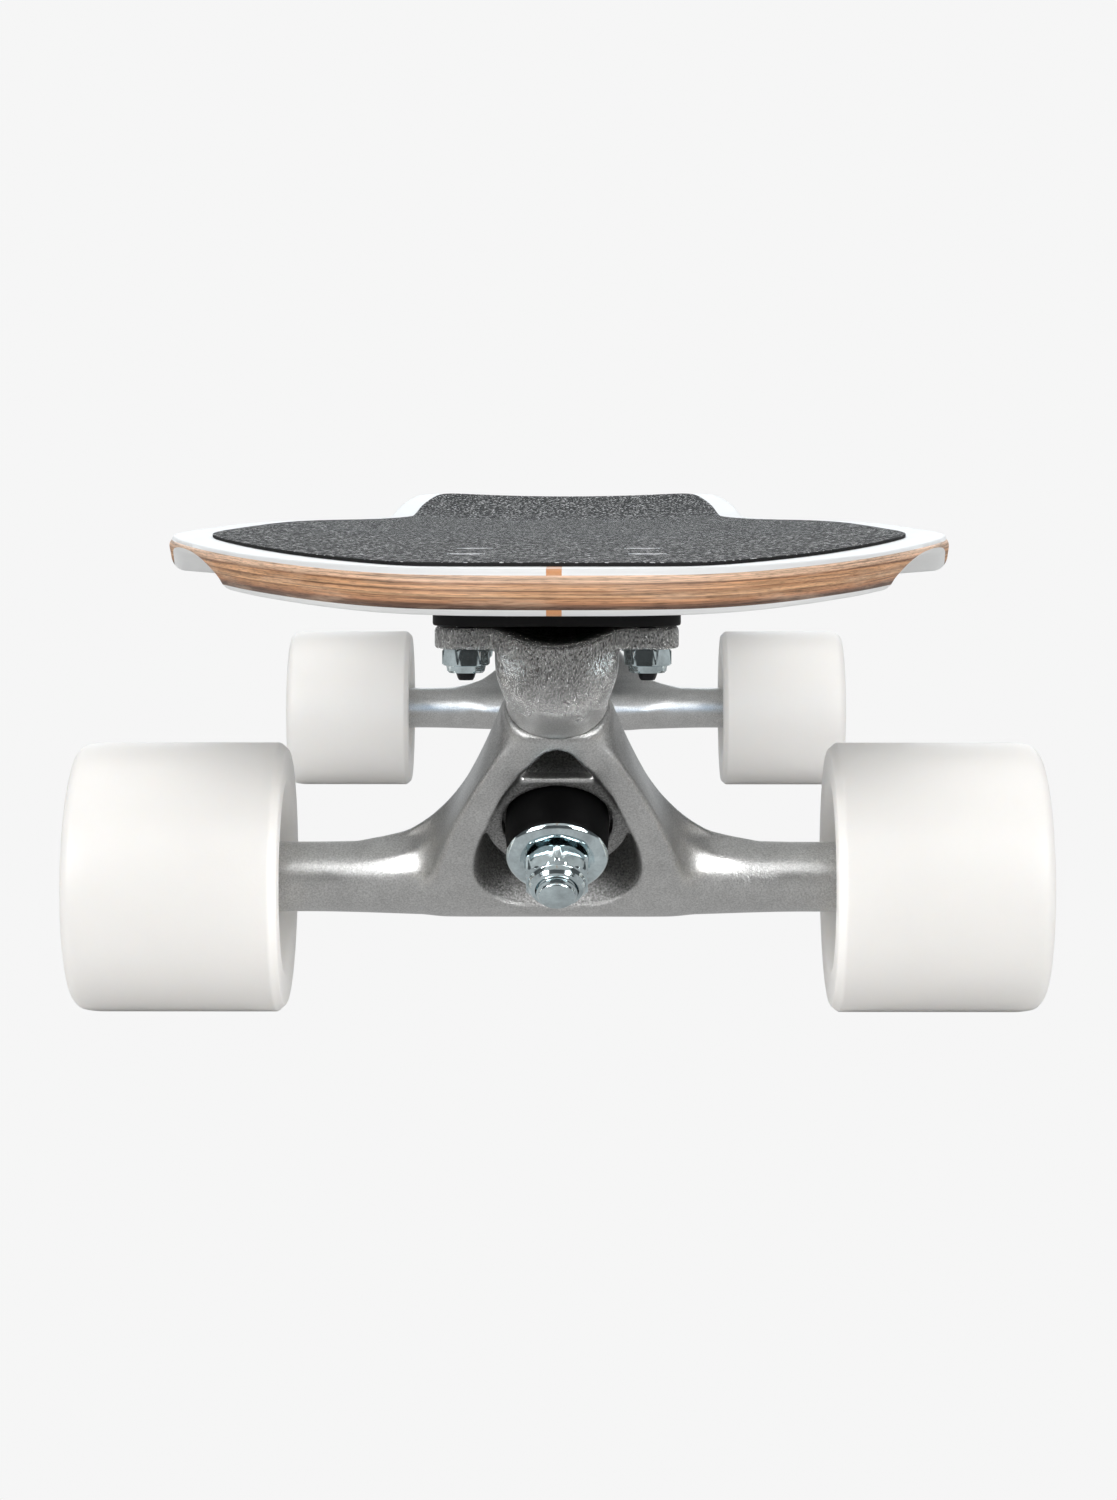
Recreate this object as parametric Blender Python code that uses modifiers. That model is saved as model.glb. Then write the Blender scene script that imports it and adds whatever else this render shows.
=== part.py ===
"""A surf-style cruiser skateboard: a wooden deck with a kicktail, grip tape, two reverse-kingpin
trucks on riser pads, and four soft wheels on bearings.

Metres, +Z up. The nose points toward -Y. The origin is the middle of the bounding box's base.
"""

import math

import bmesh
import bpy
from mathutils import Matrix, Vector

MM = 0.001

# ---------------------------------------------------------------- driving dimensions (mm)
GAP = 0.3  # left between pieces that touch

# Wheels and axles
WHEEL_RADIUS = 32.5
WHEEL_WIDTH = 51.0
WHEEL_CENTRE_X = 91.0
WHEEL_STEPS = 40
AXLE_Z = WHEEL_RADIUS * math.cos(math.pi / WHEEL_STEPS)  # a wheel stands on one of its flats
AXLE_RADIUS = 4.0
AXLE_HALF = 111.5
AXLE_NUT_FLATS = 12.7
BEARING_RADIUS = 11.0
BEARING_WIDTH = 7.0
SPACER_HALF = 5.0

# Deck
DECK_LENGTH = 890.0
DECK_BOTTOM = 101.2
DECK_THICKNESS = 9.6
GRIP_THICKNESS = 0.6
NOSE_Y = -DECK_LENGTH / 2
FRONT_AXLE_Y = NOSE_Y + 143.0
REAR_AXLE_Y = FRONT_AXLE_Y + 592.0
# Half the deck's width at stations behind the nose's tip
OUTLINE = (
    (0.0, 8.0), (1.0, 15.0), (4.0, 22.8), (9.0, 31.0), (17.0, 40.0), (31.0, 49.7),
    (50.0, 59.8), (74.0, 70.5), (110.0, 82.5), (147.0, 92.6), (180.0, 99.0), (215.0, 101.4),
    (260.0, 102.0), (320.0, 102.4), (380.0, 102.4), (440.0, 101.0), (500.0, 97.5),
    (560.0, 91.5), (620.0, 85.5), (680.0, 81.5), (740.0, 79.2), (790.0, 78.6), (835.0, 77.4),
    (860.0, 74.9), (876.0, 72.2), (885.0, 69.2), (890.0, 62.0),
)  # fmt: skip
FLAT_HALF = 27.0  # the deck is flat this far each side of its middle
CONCAVE_RISE = 3.6  # at CONCAVE_AT from the middle
CONCAVE_AT = 93.0
KICK_START = 782.0
KICK_RISE = 10.5
KICK_CUP = 3.2  # how much higher the tail's corners are than its middle
WELL_HALF = 50.0
WELL_DEPTH = 6.0
WELL_FROM = 62.0  # the wells start this far from the middle
COLUMN_CROWDING = 0.85  # below 1, the grid's columns crowd toward the deck's sides
GRIP_MARGIN = 11.0
GRIP_NOSE_MARGIN = 16.0
GRIP_TAIL_MARGIN = 4.0

# Riser pads and baseplates
RISER_THICKNESS = 5.5
PLATE_TOP = DECK_BOTTOM - RISER_THICKNESS - 2 * 0.25
PLATE_THICKNESS = 4.9
PLATE_WIDTH = 55.5
PLATE_LENGTH = 79.0
PLATE_FORWARD = 17.0  # the plate's middle, ahead of the axle
BOSS_AHEAD = 3.3  # the pivot boss stands this far in front of the plate
BOLT_HALF_WIDTH = 20.65
BOLT_HALF_LENGTH = 31.75
BOLT_RADIUS = 2.4
BOLT_HEAD_RADIUS = 4.6
BOLT_TIP_Z = 83.0
LOCK_NUT_FLATS = 9.5
LOCK_NUT_HEIGHT = 5.4

# Truck: distances along the steering axis (from the axle) and along the kingpin (from the seat)
STEER_TILT = math.radians(43.0)  # steering axis, leaning forward from the vertical
KINGPIN_TILT = STEER_TILT + math.pi / 2
SEAT = 30.4  # the kingpin crosses the steering axis here
PIVOT_MOUTH = 62.0  # the pivot cup's mouth
CUP_DEPTH = 9.5
CUP_RADIUS = 7.2
PIVOT_RADIUS = 5.0
KINGPIN_RADIUS = 4.75
KINGPIN_END = 32.0
KINGPIN_HEAD = -38.0
HEAD_HEIGHT = 6.0
KINGPIN_FLATS = 14.3
SEAT_BACK, SEAT_FRONT = -4.0, 9.6
SOCKET_DEPTH = 3.0
SOCKET_RADIUS = 12.9
SEAT_HOLE = 10.0
BUSHING_RADIUS = 12.3
WASHER_RADIUS = 11.9
WASHER_THICKNESS = 2.0
ROADSIDE_END, BOARDSIDE_END = 19.4, 18.3  # where the bushings meet their washers
HANGER_HALF = 78.5
ARM_RADIUS = 8.7
ARM_MIDDLE_RADIUS = 9.8
FRAME_BACK, FRAME_FRONT = -6.0, 10.5
# The hanger's outline and window: half-width at distances along the steering axis
FRAME_OUTLINE = (
    (-3.0, 57.0), (5.5, 57.0), (7.6, 50.0), (10.0, 42.5), (13.5, 36.0), (19.0, 29.4),
    (27.5, 23.6), (36.0, 19.6), (45.0, 15.9), (56.0, 12.4),
)  # fmt: skip
WINDOW_OUTLINE = (
    (3.6, 12.0), (5.0, 15.5), (9.0, 19.2), (14.0, 20.3), (20.0, 19.8), (28.0, 17.6),
    (36.0, 14.6), (44.0, 10.6), (50.0, 6.9), (55.0, 3.2),
)  # fmt: skip
WINDOW_THROUGH = 14.5  # above this the window goes right through

SCREW_MERGE = 0.00001


# ---------------------------------------------------------------- scene and helpers
for old in list(bpy.data.objects):
    bpy.data.objects.remove(old, do_unlink=True)


def new_collection(name):
    """A collection linked to the scene."""
    collection = bpy.data.collections.new(name)
    bpy.context.scene.collection.children.link(collection)
    return collection


BOARD = new_collection("skateboard")
CUTTERS = new_collection("skateboard_cutters")


def material(name, colour, roughness, metallic=0.0):
    """A Principled material."""
    made = bpy.data.materials.new(name)
    made.use_nodes = True
    shader = made.node_tree.nodes["Principled BSDF"]
    shader.inputs["Base Color"].default_value = (*colour, 1.0)
    shader.inputs["Roughness"].default_value = roughness
    shader.inputs["Metallic"].default_value = metallic
    made.diffuse_color = (*colour, 1.0)
    return made


WHITE_PAINT = material("deck_paint", (0.86, 0.86, 0.85), 0.35)
GRIP = material("grip_grit", (0.02, 0.02, 0.022), 0.85)
RISER_PLASTIC = material("riser_plastic", (0.025, 0.025, 0.028), 0.5)
CAST = material("cast_aluminium", (0.62, 0.63, 0.65), 0.38, 1.0)
STEEL = material("zinc_steel", (0.55, 0.58, 0.64), 0.25, 1.0)
BLACK_STEEL = material("black_steel", (0.03, 0.03, 0.033), 0.35, 0.6)
BLACK_URETHANE = material("bushing_urethane", (0.02, 0.02, 0.022), 0.45)
WHEEL_URETHANE = material("wheel_urethane", (0.87, 0.86, 0.83), 0.3)
BEARING_STEEL = material("bearing_steel", (0.5, 0.5, 0.52), 0.25, 1.0)


def place(obj, look, parent=None, collection=BOARD):
    """Link an object, give it its material and its parent."""
    collection.objects.link(obj)
    obj.data.materials.clear()
    obj.data.materials.append(look)
    obj.parent = parent
    return obj


def as_cutter(obj, parent=None):
    """Link an object as a cutter or a shape to join, which isn't a piece."""
    CUTTERS.objects.link(obj)
    obj.parent = parent
    obj.hide_render = True
    obj.display_type = "WIRE"
    return obj


def turned(name, profile, steps):
    """A turned shape about Z. The profile is (radius, height) in mm, down its outer side."""
    mesh = bpy.data.meshes.new(name)
    points = [(r * MM, 0.0, z * MM) for r, z in profile]
    edges = [(k, k + 1) for k in range(len(points) - 1)]
    if profile[0][0] > 0:
        edges.append((len(points) - 1, 0))
    mesh.from_pydata(points, edges, [])
    obj = bpy.data.objects.new(name, mesh)
    screw = obj.modifiers.new("turn", "SCREW")
    screw.steps = screw.render_steps = steps
    screw.use_merge_vertices = True
    screw.merge_threshold = SCREW_MERGE
    screw.use_smooth_shade = False
    return obj


def outlined(name, points, low, high):
    """A flat outline (x, y in mm) filled and extruded from low to high along Z, as a mesh."""
    curve = bpy.data.curves.new(name, "CURVE")
    curve.dimensions = "2D"
    curve.fill_mode = "BOTH"
    curve.extrude = (high - low) / 2 * MM
    spline = curve.splines.new("POLY")
    spline.points.add(len(points) - 1)
    for point, (x, y) in zip(spline.points, points):
        point.co = (x * MM, y * MM, 0.0, 1.0)
    spline.use_cyclic_u = True
    drawn = bpy.data.objects.new(name + "_curve", curve)
    bpy.context.scene.collection.objects.link(drawn)
    evaluated = drawn.evaluated_get(bpy.context.evaluated_depsgraph_get())
    mesh = bpy.data.meshes.new_from_object(evaluated)
    bpy.data.objects.remove(drawn, do_unlink=True)
    shape = bmesh.new()
    shape.from_mesh(mesh)
    bmesh.ops.remove_doubles(shape, verts=shape.verts, dist=1e-6)
    bmesh.ops.translate(shape, verts=shape.verts, vec=(0, 0, (low + high) / 2 * MM))
    bmesh.ops.recalc_face_normals(shape, faces=shape.faces)
    shape.to_mesh(mesh)
    shape.free()
    return bpy.data.objects.new(name, mesh)


def box(name, low, high):
    """A box between two corners, in mm."""
    shape = bmesh.new()
    size = [(b - a) * MM for a, b in zip(low, high)]
    middle = [(a + b) / 2 * MM for a, b in zip(low, high)]
    matrix = Matrix.Translation(middle) @ Matrix.Diagonal((*size, 1.0))
    bmesh.ops.create_cube(shape, size=1.0, matrix=matrix)
    mesh = bpy.data.meshes.new(name)
    shape.to_mesh(mesh)
    shape.free()
    return bpy.data.objects.new(name, mesh)


def rod(name, radius, low, high, steps, centre=(0.0, 0.0), top_radius=None):
    """A cylinder or cone along Z from low to high, in mm."""
    shape = bmesh.new()
    matrix = Matrix.Translation((centre[0] * MM, centre[1] * MM, (low + high) / 2 * MM))
    bmesh.ops.create_cone(
        shape,
        cap_ends=True,
        segments=steps,
        radius1=radius * MM,
        radius2=(radius if top_radius is None else top_radius) * MM,
        depth=(high - low) * MM,
        matrix=matrix,
    )
    mesh = bpy.data.meshes.new(name)
    shape.to_mesh(mesh)
    shape.free()
    return bpy.data.objects.new(name, mesh)


def combine(obj, other, operation):
    """Add an exact Boolean with another object."""
    step = obj.modifiers.new(other.name, "BOOLEAN")
    step.operation = operation
    step.object = other
    step.solver = "EXACT"


def hex_nut(name, flats, low, high, collar_radius, collar_height, bore, look, parent):
    """A lock nut along Z: its hexagon at the low end, its collar at the high end."""
    across = flats / math.sqrt(3)
    nut = place(rod(name, across, low, high - collar_height, 6), look, parent)
    collar = rod(name + "_collar", collar_radius, high - collar_height - 1.0, high, 14)
    combine(nut, as_cutter(collar, nut), "UNION")
    hole = rod(name + "_bore", bore, low - 1.0, high + 1.0, 14)
    combine(nut, as_cutter(hole, nut), "DIFFERENCE")
    return nut


def rounded_rectangle(width, length, radius, steps=3):
    """Points around a rectangle with rounded corners, in mm."""
    points = []
    corners = ((1, 1, 0), (-1, 1, 90), (-1, -1, 180), (1, -1, 270))
    for sx, sy, start in corners:
        cx, cy = sx * (width / 2 - radius), sy * (length / 2 - radius)
        for k in range(steps + 1):
            angle = math.radians(start + 90.0 * k / steps)
            points.append((cx + radius * math.cos(angle), cy + radius * math.sin(angle)))
    return points


def smooth(value):
    """A smooth step from 0 to 1."""
    value = min(max(value, 0.0), 1.0)
    return value * value * (3 - 2 * value)


# ---------------------------------------------------------------- deck and grip tape
def half_width(station):
    """Half the deck's width at a distance behind the nose's tip, through the outline's points."""
    stations = [s for s, _ in OUTLINE]
    widths = [w for _, w in OUTLINE]
    if station <= stations[0]:
        return widths[0]
    if station >= stations[-1]:
        return widths[-1]
    k = next(i for i in range(len(stations) - 1) if station <= stations[i + 1])

    def slope(i):
        low, high = max(i - 1, 0), min(i + 1, len(stations) - 1)
        return (widths[high] - widths[low]) / (stations[high] - stations[low])

    span = stations[k + 1] - stations[k]
    t = (station - stations[k]) / span
    return (
        (2 * t**3 - 3 * t**2 + 1) * widths[k]
        + (t**3 - 2 * t**2 + t) * span * slope(k)
        + (3 * t**2 - 2 * t**3) * widths[k + 1]
        + (t**3 - t**2) * span * slope(k + 1)
    )


def lift(x, station):
    """How far the deck's surface is above its flat middle: concave and kicktail."""
    out = max(abs(x) - FLAT_HALF, 0.0)
    concave = CONCAVE_RISE * (out / (CONCAVE_AT - FLAT_HALF)) ** 1.5
    back = max(station - KICK_START, 0.0) / (DECK_LENGTH - KICK_START)
    kick = KICK_RISE * back**1.6
    cup = KICK_CUP * smooth(back * 1.5) * (abs(x) / 78.0) ** 2
    return concave * (1 - smooth(back * 1.5)) + kick + cup


def well(x, station):
    """How far a wheel well raises the underside at this point."""
    out = smooth((abs(x) - WELL_FROM) / 26.0)
    depth = 0.0
    for axle in (FRONT_AXLE_Y, REAR_AXLE_Y):
        along = abs(station + NOSE_Y - axle) / WELL_HALF
        if along < 1:
            depth = max(depth, WELL_DEPTH * out * math.sqrt(1 - along**2))
    return depth


def sheet(name, stations, columns, width_at, top, thickness, with_wells):
    """A closed curved slab: a grid laid over the deck's plan, given a top and an underside."""
    shape = bmesh.new()
    bmesh.ops.create_grid(shape, x_segments=columns, y_segments=len(stations) - 1, size=1.0)
    rows = len(stations)
    for vert in shape.verts:
        station = stations[round((vert.co.y + 1) / 2 * (rows - 1))]
        x = math.copysign(abs(vert.co.x) ** COLUMN_CROWDING, vert.co.x) * width_at(station)
        z = top + lift(x, station)
        vert.co = Vector((x, station + NOSE_Y, z)) * MM
    below = bmesh.ops.extrude_face_region(shape, geom=list(shape.faces))["geom"]
    for vert in [item for item in below if isinstance(item, bmesh.types.BMVert)]:
        station = vert.co.y / MM - NOSE_Y
        vert.co.z -= thickness * MM
        if with_wells:
            vert.co.z += well(vert.co.x / MM, station) * MM
    bmesh.ops.recalc_face_normals(shape, faces=shape.faces)
    mesh = bpy.data.meshes.new(name)
    shape.to_mesh(mesh)
    shape.free()
    return bpy.data.objects.new(name, mesh)


def grip_width(station):
    """Half the grip tape's width: the outline less a margin, rounded off at its nose."""
    from_nose = max(station - GRIP_NOSE_MARGIN, 0.0)
    nose = 21.0 + 13.5 * math.sqrt(min(from_nose, 12.0) / 12.0)
    return min(half_width(station) - GRIP_MARGIN, nose + 1.55 * from_nose)


DECK_STATIONS = sorted(
    {s for s, _ in OUTLINE}
    | {axle - NOSE_Y + k * WELL_HALF / 3 for axle in (FRONT_AXLE_Y, REAR_AXLE_Y) for k in range(-3, 4)}
    | {KICK_START, 805.0, 820.0, 848.0}
)
DECK_TOP = DECK_BOTTOM + DECK_THICKNESS
GRIP_BOTTOM = DECK_TOP + 0.25
GRIP_TOP = GRIP_BOTTOM + GRIP_THICKNESS

deck = sheet("deck", DECK_STATIONS, 10, half_width, DECK_TOP, DECK_THICKNESS, True)
place(deck, WHITE_PAINT)

GRIP_STATIONS = sorted(
    {s for s in DECK_STATIONS if GRIP_NOSE_MARGIN + 4 < s < DECK_LENGTH - GRIP_TAIL_MARGIN - 2}
    | {GRIP_NOSE_MARGIN, GRIP_NOSE_MARGIN + 3, DECK_LENGTH - GRIP_TAIL_MARGIN}
)
grip = sheet("grip_tape", GRIP_STATIONS, 8, grip_width, GRIP_TOP, GRIP_THICKNESS, False)
place(grip, GRIP)


# ---------------------------------------------------------------- trucks
def truck_bolts(end):
    """The four bolt places of a truck as (name, x, y) in the truck's own frame."""
    turned_round = -1 if end == "rear" else 1
    for where, row in (("outer", 1), ("inner", -1)):
        for side, sign in (("left", turned_round), ("right", -turned_round)):
            yield f"{where}_{side}", sign * BOLT_HALF_WIDTH, -PLATE_FORWARD - row * BOLT_HALF_LENGTH


def bolt_profile(head_radius, shaft_radius, top, tip):
    """A countersunk bolt, or the hole for one."""
    neck = top - (head_radius - shaft_radius) * 1.25
    return [(0, top), (head_radius, top), (shaft_radius, neck), (shaft_radius, tip), (0, tip)]


def build_baseplate(end, truck):
    """The cast baseplate: a plate with a kingpin boss and a pivot boss under it."""
    top = PLATE_TOP - AXLE_Z
    front, back = PLATE_FORWARD + PLATE_LENGTH / 2, PLATE_FORWARD - PLATE_LENGTH / 2
    name = f"{end}_baseplate"
    points = [(x, y - PLATE_FORWARD) for x, y in rounded_rectangle(PLATE_WIDTH, PLATE_LENGTH, 7)]
    plate = place(outlined(name, points, top - PLATE_THICKNESS, top), CAST, truck)

    kingpin_boss = rod(
        f"{name}_kingpin_boss", 12.5, -66.0, -BOARDSIDE_END - WASHER_THICKNESS - 0.5, 28
    )
    kingpin_boss.rotation_euler.x = KINGPIN_TILT
    kingpin_boss.location = seat_point()
    pivot_boss = rod(f"{name}_pivot_boss", 11.4, PIVOT_MOUTH, PIVOT_MOUTH + 22, 28, top_radius=14.2)
    pivot_boss.rotation_euler.x = STEER_TILT
    rib = box(f"{name}_rib", (-6.5, -20.0, top - 13.0), (6.5, 8.0, top - 1.0))
    for boss in (kingpin_boss, pivot_boss, rib):
        combine(plate, as_cutter(boss, truck), "UNION")

    over = box(f"{name}_over", (-60, -90, top), (60, 60, top + 60))
    ahead = box(f"{name}_ahead", (-60, -120, top - 60), (60, -front - BOSS_AHEAD, top + 30))
    behind = box(f"{name}_behind", (-60, -back - 0.4, top - 60), (60, 90, top + 30))
    scoop = rod(f"{name}_scoop", 25.4, 42.0, 70.0, 48)
    scoop.rotation_euler.x = math.pi / 2
    scoop.location.z = (top + 21.2) * MM
    kingpin_hole = rod(f"{name}_kingpin_hole", KINGPIN_RADIUS + GAP + 0.05, -50.0, 0.0, 20)
    kingpin_hole.rotation_euler.x = KINGPIN_TILT
    kingpin_hole.location = seat_point()
    cup_hole = rod(
        f"{name}_cup_hole", CUP_RADIUS + GAP, PIVOT_MOUTH - 4, PIVOT_MOUTH + CUP_DEPTH + 2 * GAP, 24
    )
    cup_hole.rotation_euler.x = STEER_TILT
    pocket = rod(f"{name}_pocket", 8.9, -70.0, KINGPIN_HEAD + GAP, 24)
    pocket.rotation_euler.x = KINGPIN_TILT
    pocket.location = seat_point()
    keep = box(f"{name}_pocket_limit", (-20, -60, top - 60), (20, -back - 3.0, top + 30))
    combine(pocket, as_cutter(keep, truck), "INTERSECT")
    cutters = [over, ahead, behind, scoop, kingpin_hole, cup_hole, pocket]
    for where, x, y in truck_bolts(end):
        hole = rod(f"{name}_hole_{where}", BOLT_RADIUS + 0.45, top - 20, top + 20, 12, (x, y))
        cutters.append(hole)
    for cutter in cutters:
        combine(plate, as_cutter(cutter, truck), "DIFFERENCE")
    return plate


def seat_point():
    """The point where the kingpin crosses the steering axis, from the axle's middle, in metres."""
    return Vector((0, -math.sin(STEER_TILT), math.cos(STEER_TILT))) * SEAT * MM


def mirrored(half):
    """A closed outline (x, y) from half-widths at distances along Y."""
    return [(w, t) for t, w in half] + [(-w, t) for t, w in reversed(half)]


def build_hanger(end, truck):
    """The hanger, drawn in its own plane: X across, Y up the steering axis, Z along the kingpin."""
    name = f"{end}_hanger"
    arms = [
        (ARM_RADIUS, HANGER_HALF), (ARM_RADIUS, 56.0), (ARM_MIDDLE_RADIUS, 26.0),
        (ARM_MIDDLE_RADIUS, -26.0), (ARM_RADIUS, -56.0), (ARM_RADIUS, -HANGER_HALF),
    ]  # fmt: skip
    frame = outlined(name, mirrored(FRAME_OUTLINE), FRAME_BACK, FRAME_FRONT)
    hanger = place(frame, CAST, truck)
    hanger.rotation_euler.x = KINGPIN_TILT

    beam = turned(f"{name}_arms", [(0, HANGER_HALF), *arms, (0, -HANGER_HALF)], 24)
    beam.rotation_euler.y = math.pi / 2
    flange = rod(f"{name}_flange", 12.4, 50.0, PIVOT_MOUTH - 1.2, 24)
    flange.rotation_euler.x = -math.pi / 2
    for shape in (beam, flange):
        combine(hanger, as_cutter(shape, hanger), "UNION")

    low_window = outlined(f"{name}_window", mirrored(WINDOW_OUTLINE), 3.2, 40.0)
    inner = [(t - 0.3, w - 0.6) for t, w in WINDOW_OUTLINE if t > WINDOW_THROUGH]
    through = outlined(f"{name}_window_through", mirrored(inner), -40.0, 6.0)
    for cutter in (low_window, through):
        combine(hanger, as_cutter(cutter, hanger), "DIFFERENCE")

    seat = rod(f"{name}_seat", 17.4, SEAT_BACK, SEAT_FRONT, 32, (0, SEAT))
    combine(hanger, as_cutter(seat, hanger), "UNION")
    hole = rod(f"{name}_seat_hole", SEAT_HOLE, -30, 30, 24, (0, SEAT))
    front = rod(f"{name}_front_socket", SOCKET_RADIUS, SEAT_FRONT - SOCKET_DEPTH, 40, 28, (0, SEAT))
    back = rod(f"{name}_back_socket", SOCKET_RADIUS, -40, SEAT_BACK + SOCKET_DEPTH, 28, (0, SEAT))
    bore = rod(f"{name}_axle_bore", AXLE_RADIUS + GAP + 0.05, -100, 100, 20)
    bore.rotation_euler.y = math.pi / 2
    for cutter in (hole, front, back, bore):
        combine(hanger, as_cutter(cutter, hanger), "DIFFERENCE")

    tip = PIVOT_MOUTH + CUP_DEPTH - 2.0
    nose = [(0, tip), (3.4, tip - 0.9), (PIVOT_RADIUS, tip - 2.6), (PIVOT_RADIUS, 57.0), (0, 57.0)]
    pivot = turned(f"{name}_pivot", nose, 20)
    pivot.rotation_euler.x = -math.pi / 2
    combine(hanger, as_cutter(pivot, hanger), "UNION")
    return hanger


def on_kingpin(obj):
    """Turn a piece drawn along Z onto the kingpin, with the seat at zero."""
    obj.rotation_euler.x = KINGPIN_TILT
    obj.location = seat_point()
    return obj


def build_kingpin_group(end, truck):
    """The kingpin with its bushings, washers and nut, from the baseplate to the free end."""
    shaft = [
        (0, KINGPIN_END), (KINGPIN_RADIUS - 0.6, KINGPIN_END),
        (KINGPIN_RADIUS, KINGPIN_END - 0.8), (KINGPIN_RADIUS, KINGPIN_HEAD - 1), (0, KINGPIN_HEAD - 1),
    ]  # fmt: skip
    kingpin = on_kingpin(place(turned(f"{end}_kingpin", shaft, 20), STEEL, truck))
    across = KINGPIN_FLATS / math.sqrt(3)
    head = rod(f"{end}_kingpin_head", across, KINGPIN_HEAD - HEAD_HEIGHT, KINGPIN_HEAD, 6)
    combine(kingpin, as_cutter(head, kingpin), "UNION")

    bore = KINGPIN_RADIUS + GAP + 0.05
    seat_front = SEAT_FRONT - SOCKET_DEPTH + GAP
    seat_back = SEAT_BACK + SOCKET_DEPTH - GAP
    bulge, rim = BUSHING_RADIUS, BUSHING_RADIUS - 0.9
    roadside = [
        (bore, ROADSIDE_END), (rim, ROADSIDE_END), (bulge, (ROADSIDE_END + seat_front) / 2),
        (bulge - 0.2, seat_front), (bore, seat_front),
    ]  # fmt: skip
    boardside = [
        (bore, seat_back), (bulge - 0.2, seat_back), (bulge, (seat_back - BOARDSIDE_END) / 2),
        (rim, -BOARDSIDE_END), (bore, -BOARDSIDE_END),
    ]  # fmt: skip
    on_kingpin(place(turned(f"{end}_roadside_bushing", roadside, 24), BLACK_URETHANE, truck))
    on_kingpin(place(turned(f"{end}_boardside_bushing", boardside, 24), BLACK_URETHANE, truck))

    for side, sign, end_k in (("boardside", -1, BOARDSIDE_END), ("roadside", 1, ROADSIDE_END)):
        low = end_k + 0.2
        high = low + WASHER_THICKNESS
        ring = [(bore, high), (WASHER_RADIUS - 1.2, high), (WASHER_RADIUS, low), (bore, low)]
        if sign < 0:
            ring = [(r, -z) for r, z in reversed(ring)]
        on_kingpin(place(turned(f"{end}_{side}_washer", ring, 24), STEEL, truck))

    on_kingpin(
        hex_nut(
            f"{end}_kingpin_nut", KINGPIN_FLATS, high + GAP, high + GAP + 8.0, 6.7, 2.4,
            bore, STEEL, truck,
        )
    )  # fmt: skip


def build_truck(end, axle_y, turn):
    """One truck on its riser, with its bolts and wheels."""
    truck = bpy.data.objects.new(f"{end}_truck", None)
    BOARD.objects.link(truck)
    truck.empty_display_size = 0.02
    truck.location = (0, axle_y * MM, AXLE_Z * MM)
    truck.rotation_euler.z = turn

    riser_low = PLATE_TOP + 0.25 - AXLE_Z
    points = [
        (x, y - PLATE_FORWARD)
        for x, y in rounded_rectangle(PLATE_WIDTH + 1.5, PLATE_LENGTH + 2.0, 7.5)
    ]
    riser = outlined(f"{end}_riser_pad", points, riser_low, riser_low + RISER_THICKNESS)
    place(riser, RISER_PLASTIC, truck)
    for where, x, y in truck_bolts(end):
        hole = rod(f"{end}_riser_hole_{where}", BOLT_RADIUS + 0.45, 40, 90, 12, (x, y))
        combine(riser, as_cutter(hole, truck), "DIFFERENCE")

    build_baseplate(end, truck)
    cup_top, cup_low = PIVOT_MOUTH + CUP_DEPTH, PIVOT_MOUTH + GAP
    inside = PIVOT_RADIUS + 0.4
    cup = [
        (0, cup_top), (CUP_RADIUS, cup_top), (CUP_RADIUS, cup_low),
        (inside, cup_low), (inside, cup_top - 1.4), (0, cup_top - 1.4),
    ]  # fmt: skip
    pivot_cup = place(turned(f"{end}_pivot_cup", cup, 24), BLACK_URETHANE, truck)
    pivot_cup.rotation_euler.x = STEER_TILT
    build_kingpin_group(end, truck)
    build_hanger(end, truck)

    end_x = AXLE_HALF
    bar = [(0, end_x), (3.4, end_x), (4, end_x - 0.7), (4, 0.7 - end_x), (3.4, -end_x), (0, -end_x)]
    axle = place(turned(f"{end}_axle", bar, 20), STEEL, truck)
    axle.rotation_euler.y = math.pi / 2

    for where, x, y in truck_bolts(end):
        top = GRIP_TOP + 0.1 - AXLE_Z
        tip = BOLT_TIP_Z - AXLE_Z
        shape = turned(
            f"{end}_bolt_{where}", bolt_profile(BOLT_HEAD_RADIUS, BOLT_RADIUS, top, tip), 12
        )
        bolt = place(shape, BLACK_STEEL, truck)
        bolt.location = (x * MM, y * MM, 0)
        profile = bolt_profile(BOLT_HEAD_RADIUS + 0.4, BOLT_RADIUS + 0.45, top + 0.3, tip)
        for piece in (deck, grip):
            hole = as_cutter(turned(f"{piece.name}_{end}_{where}_hole", profile, 12), truck)
            hole.location = bolt.location
            combine(piece, hole, "DIFFERENCE")
        nut_top = PLATE_TOP - PLATE_THICKNESS - AXLE_Z - 0.25
        nut = hex_nut(
            f"{end}_lock_nut_{where}", LOCK_NUT_FLATS, -nut_top, LOCK_NUT_HEIGHT - nut_top,
            4.4, 1.6, BOLT_RADIUS + 0.4, STEEL, truck,
        )  # fmt: skip
        nut.location = bolt.location
        nut.rotation_euler.x = math.pi

    for side, x in (("left", 1), ("right", -1)):
        build_wheel(end, side, x, truck)
    return truck


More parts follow.
